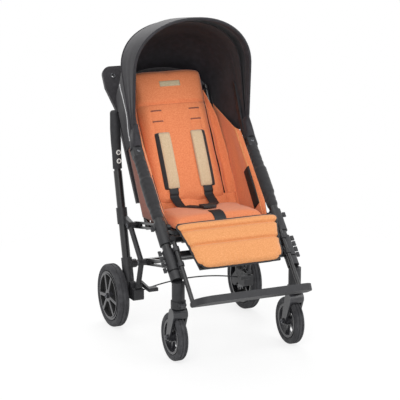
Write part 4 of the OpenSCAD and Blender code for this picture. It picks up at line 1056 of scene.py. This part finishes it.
def seen_directly(tree_owner):
    """1 for the camera's own rays and for what metal and glass mirror, and 0 for the light on the object."""
    kind = add_node(tree_owner, "ShaderNodeLightPath", {}, {})
    total = kind.outputs["Is Camera Ray"]
    for other in ("Is Glossy Ray", "Is Transmission Ray"):
        total = add_node(tree_owner, "ShaderNodeMath", {"operation": "MAXIMUM"},
                         {0: total, 1: kind.outputs[other]}).outputs["Value"]
    return total


white = add_node(pale, "ShaderNodeEmission", {"Strength": 1.0}, {})
far = add_node(pale, "ShaderNodeVectorMath", {"operation": "LENGTH"}, {0: place})
share = add_node(pale, "ShaderNodeMapRange", {"From Min": 0.5, "From Max": 1.6, "To Min": 0.78, "To Max": 1.0},
                 {"Value": far.outputs["Value"]})
seen = add_node(pale, "ShaderNodeMath", {"operation": "MULTIPLY"},
                {0: seen_directly(pale), 1: share.outputs["Result"]})
mixed = add_node(pale, "ShaderNodeMixShader", {}, {"Fac": seen.outputs["Value"], 1: shader.outputs["BSDF"],
                                                   2: white.outputs["Emission"]})
pale.node_tree.links.new(mixed.outputs["Shader"], pale.node_tree.nodes["Material Output"].inputs["Surface"])
wear(pale, [floor])

world = bpy.context.scene.world or bpy.data.worlds.new("studio")
bpy.context.scene.world = world
world.use_nodes = True
sky = world.node_tree.nodes["Background"]
sky.inputs["Color"].default_value = linear("ffffff")
shown = add_node(world, "ShaderNodeMapRange", {"To Min": 0.7, "To Max": 1.0}, {"Value": seen_directly(world)})
world.node_tree.links.new(shown.outputs["Result"], sky.inputs["Strength"])

lamp_aim = Vector((0, 0, 0.6))
for name, spot, energy, size in (("key_lamp", (-1.8, -3.0, 3.2), 95, 2.2),
                                 ("fill_lamp", (2.6, -2.4, 2.0), 45, 2.4),
                                 ("rim_lamp", (0.6, 2.4, 3.0), 60, 1.8)):
    bpy.ops.object.light_add(type="AREA", location=spot)
    lamp = bpy.context.object
    lamp.name = name
    lamp.data.energy, lamp.data.size = energy, size
    lamp.rotation_euler = (lamp_aim - Vector(spot)).to_track_quat("-Z", "Y").to_euler()

azimuth, elevation, distance = math.radians(-24.94), math.radians(12.8), 6.0056
axle_middle = (pivot("rear_wheel_spin_left").y + pivot("front_wheel_spin_left").y) / 2
target = Vector((0, axle_middle, 0.55))
level = math.cos(elevation)
back = Vector((math.sin(azimuth) * level, -math.cos(azimuth) * level, math.sin(elevation)))
bpy.ops.object.camera_add(location=target + back * distance)
camera = bpy.context.object
camera.rotation_euler = back.to_track_quat("Z", "Y").to_euler()
image_width, focal_pixels = 400, 1634.74
view_centre = (205.75, 189.87)
camera.data.lens = camera.data.sensor_width * focal_pixels / image_width
camera.data.shift_x = 0.5 - view_centre[0] / image_width
camera.data.shift_y = view_centre[1] / image_width - 0.5
bpy.context.scene.camera = camera
bpy.context.scene.view_settings.view_transform = "Standard"
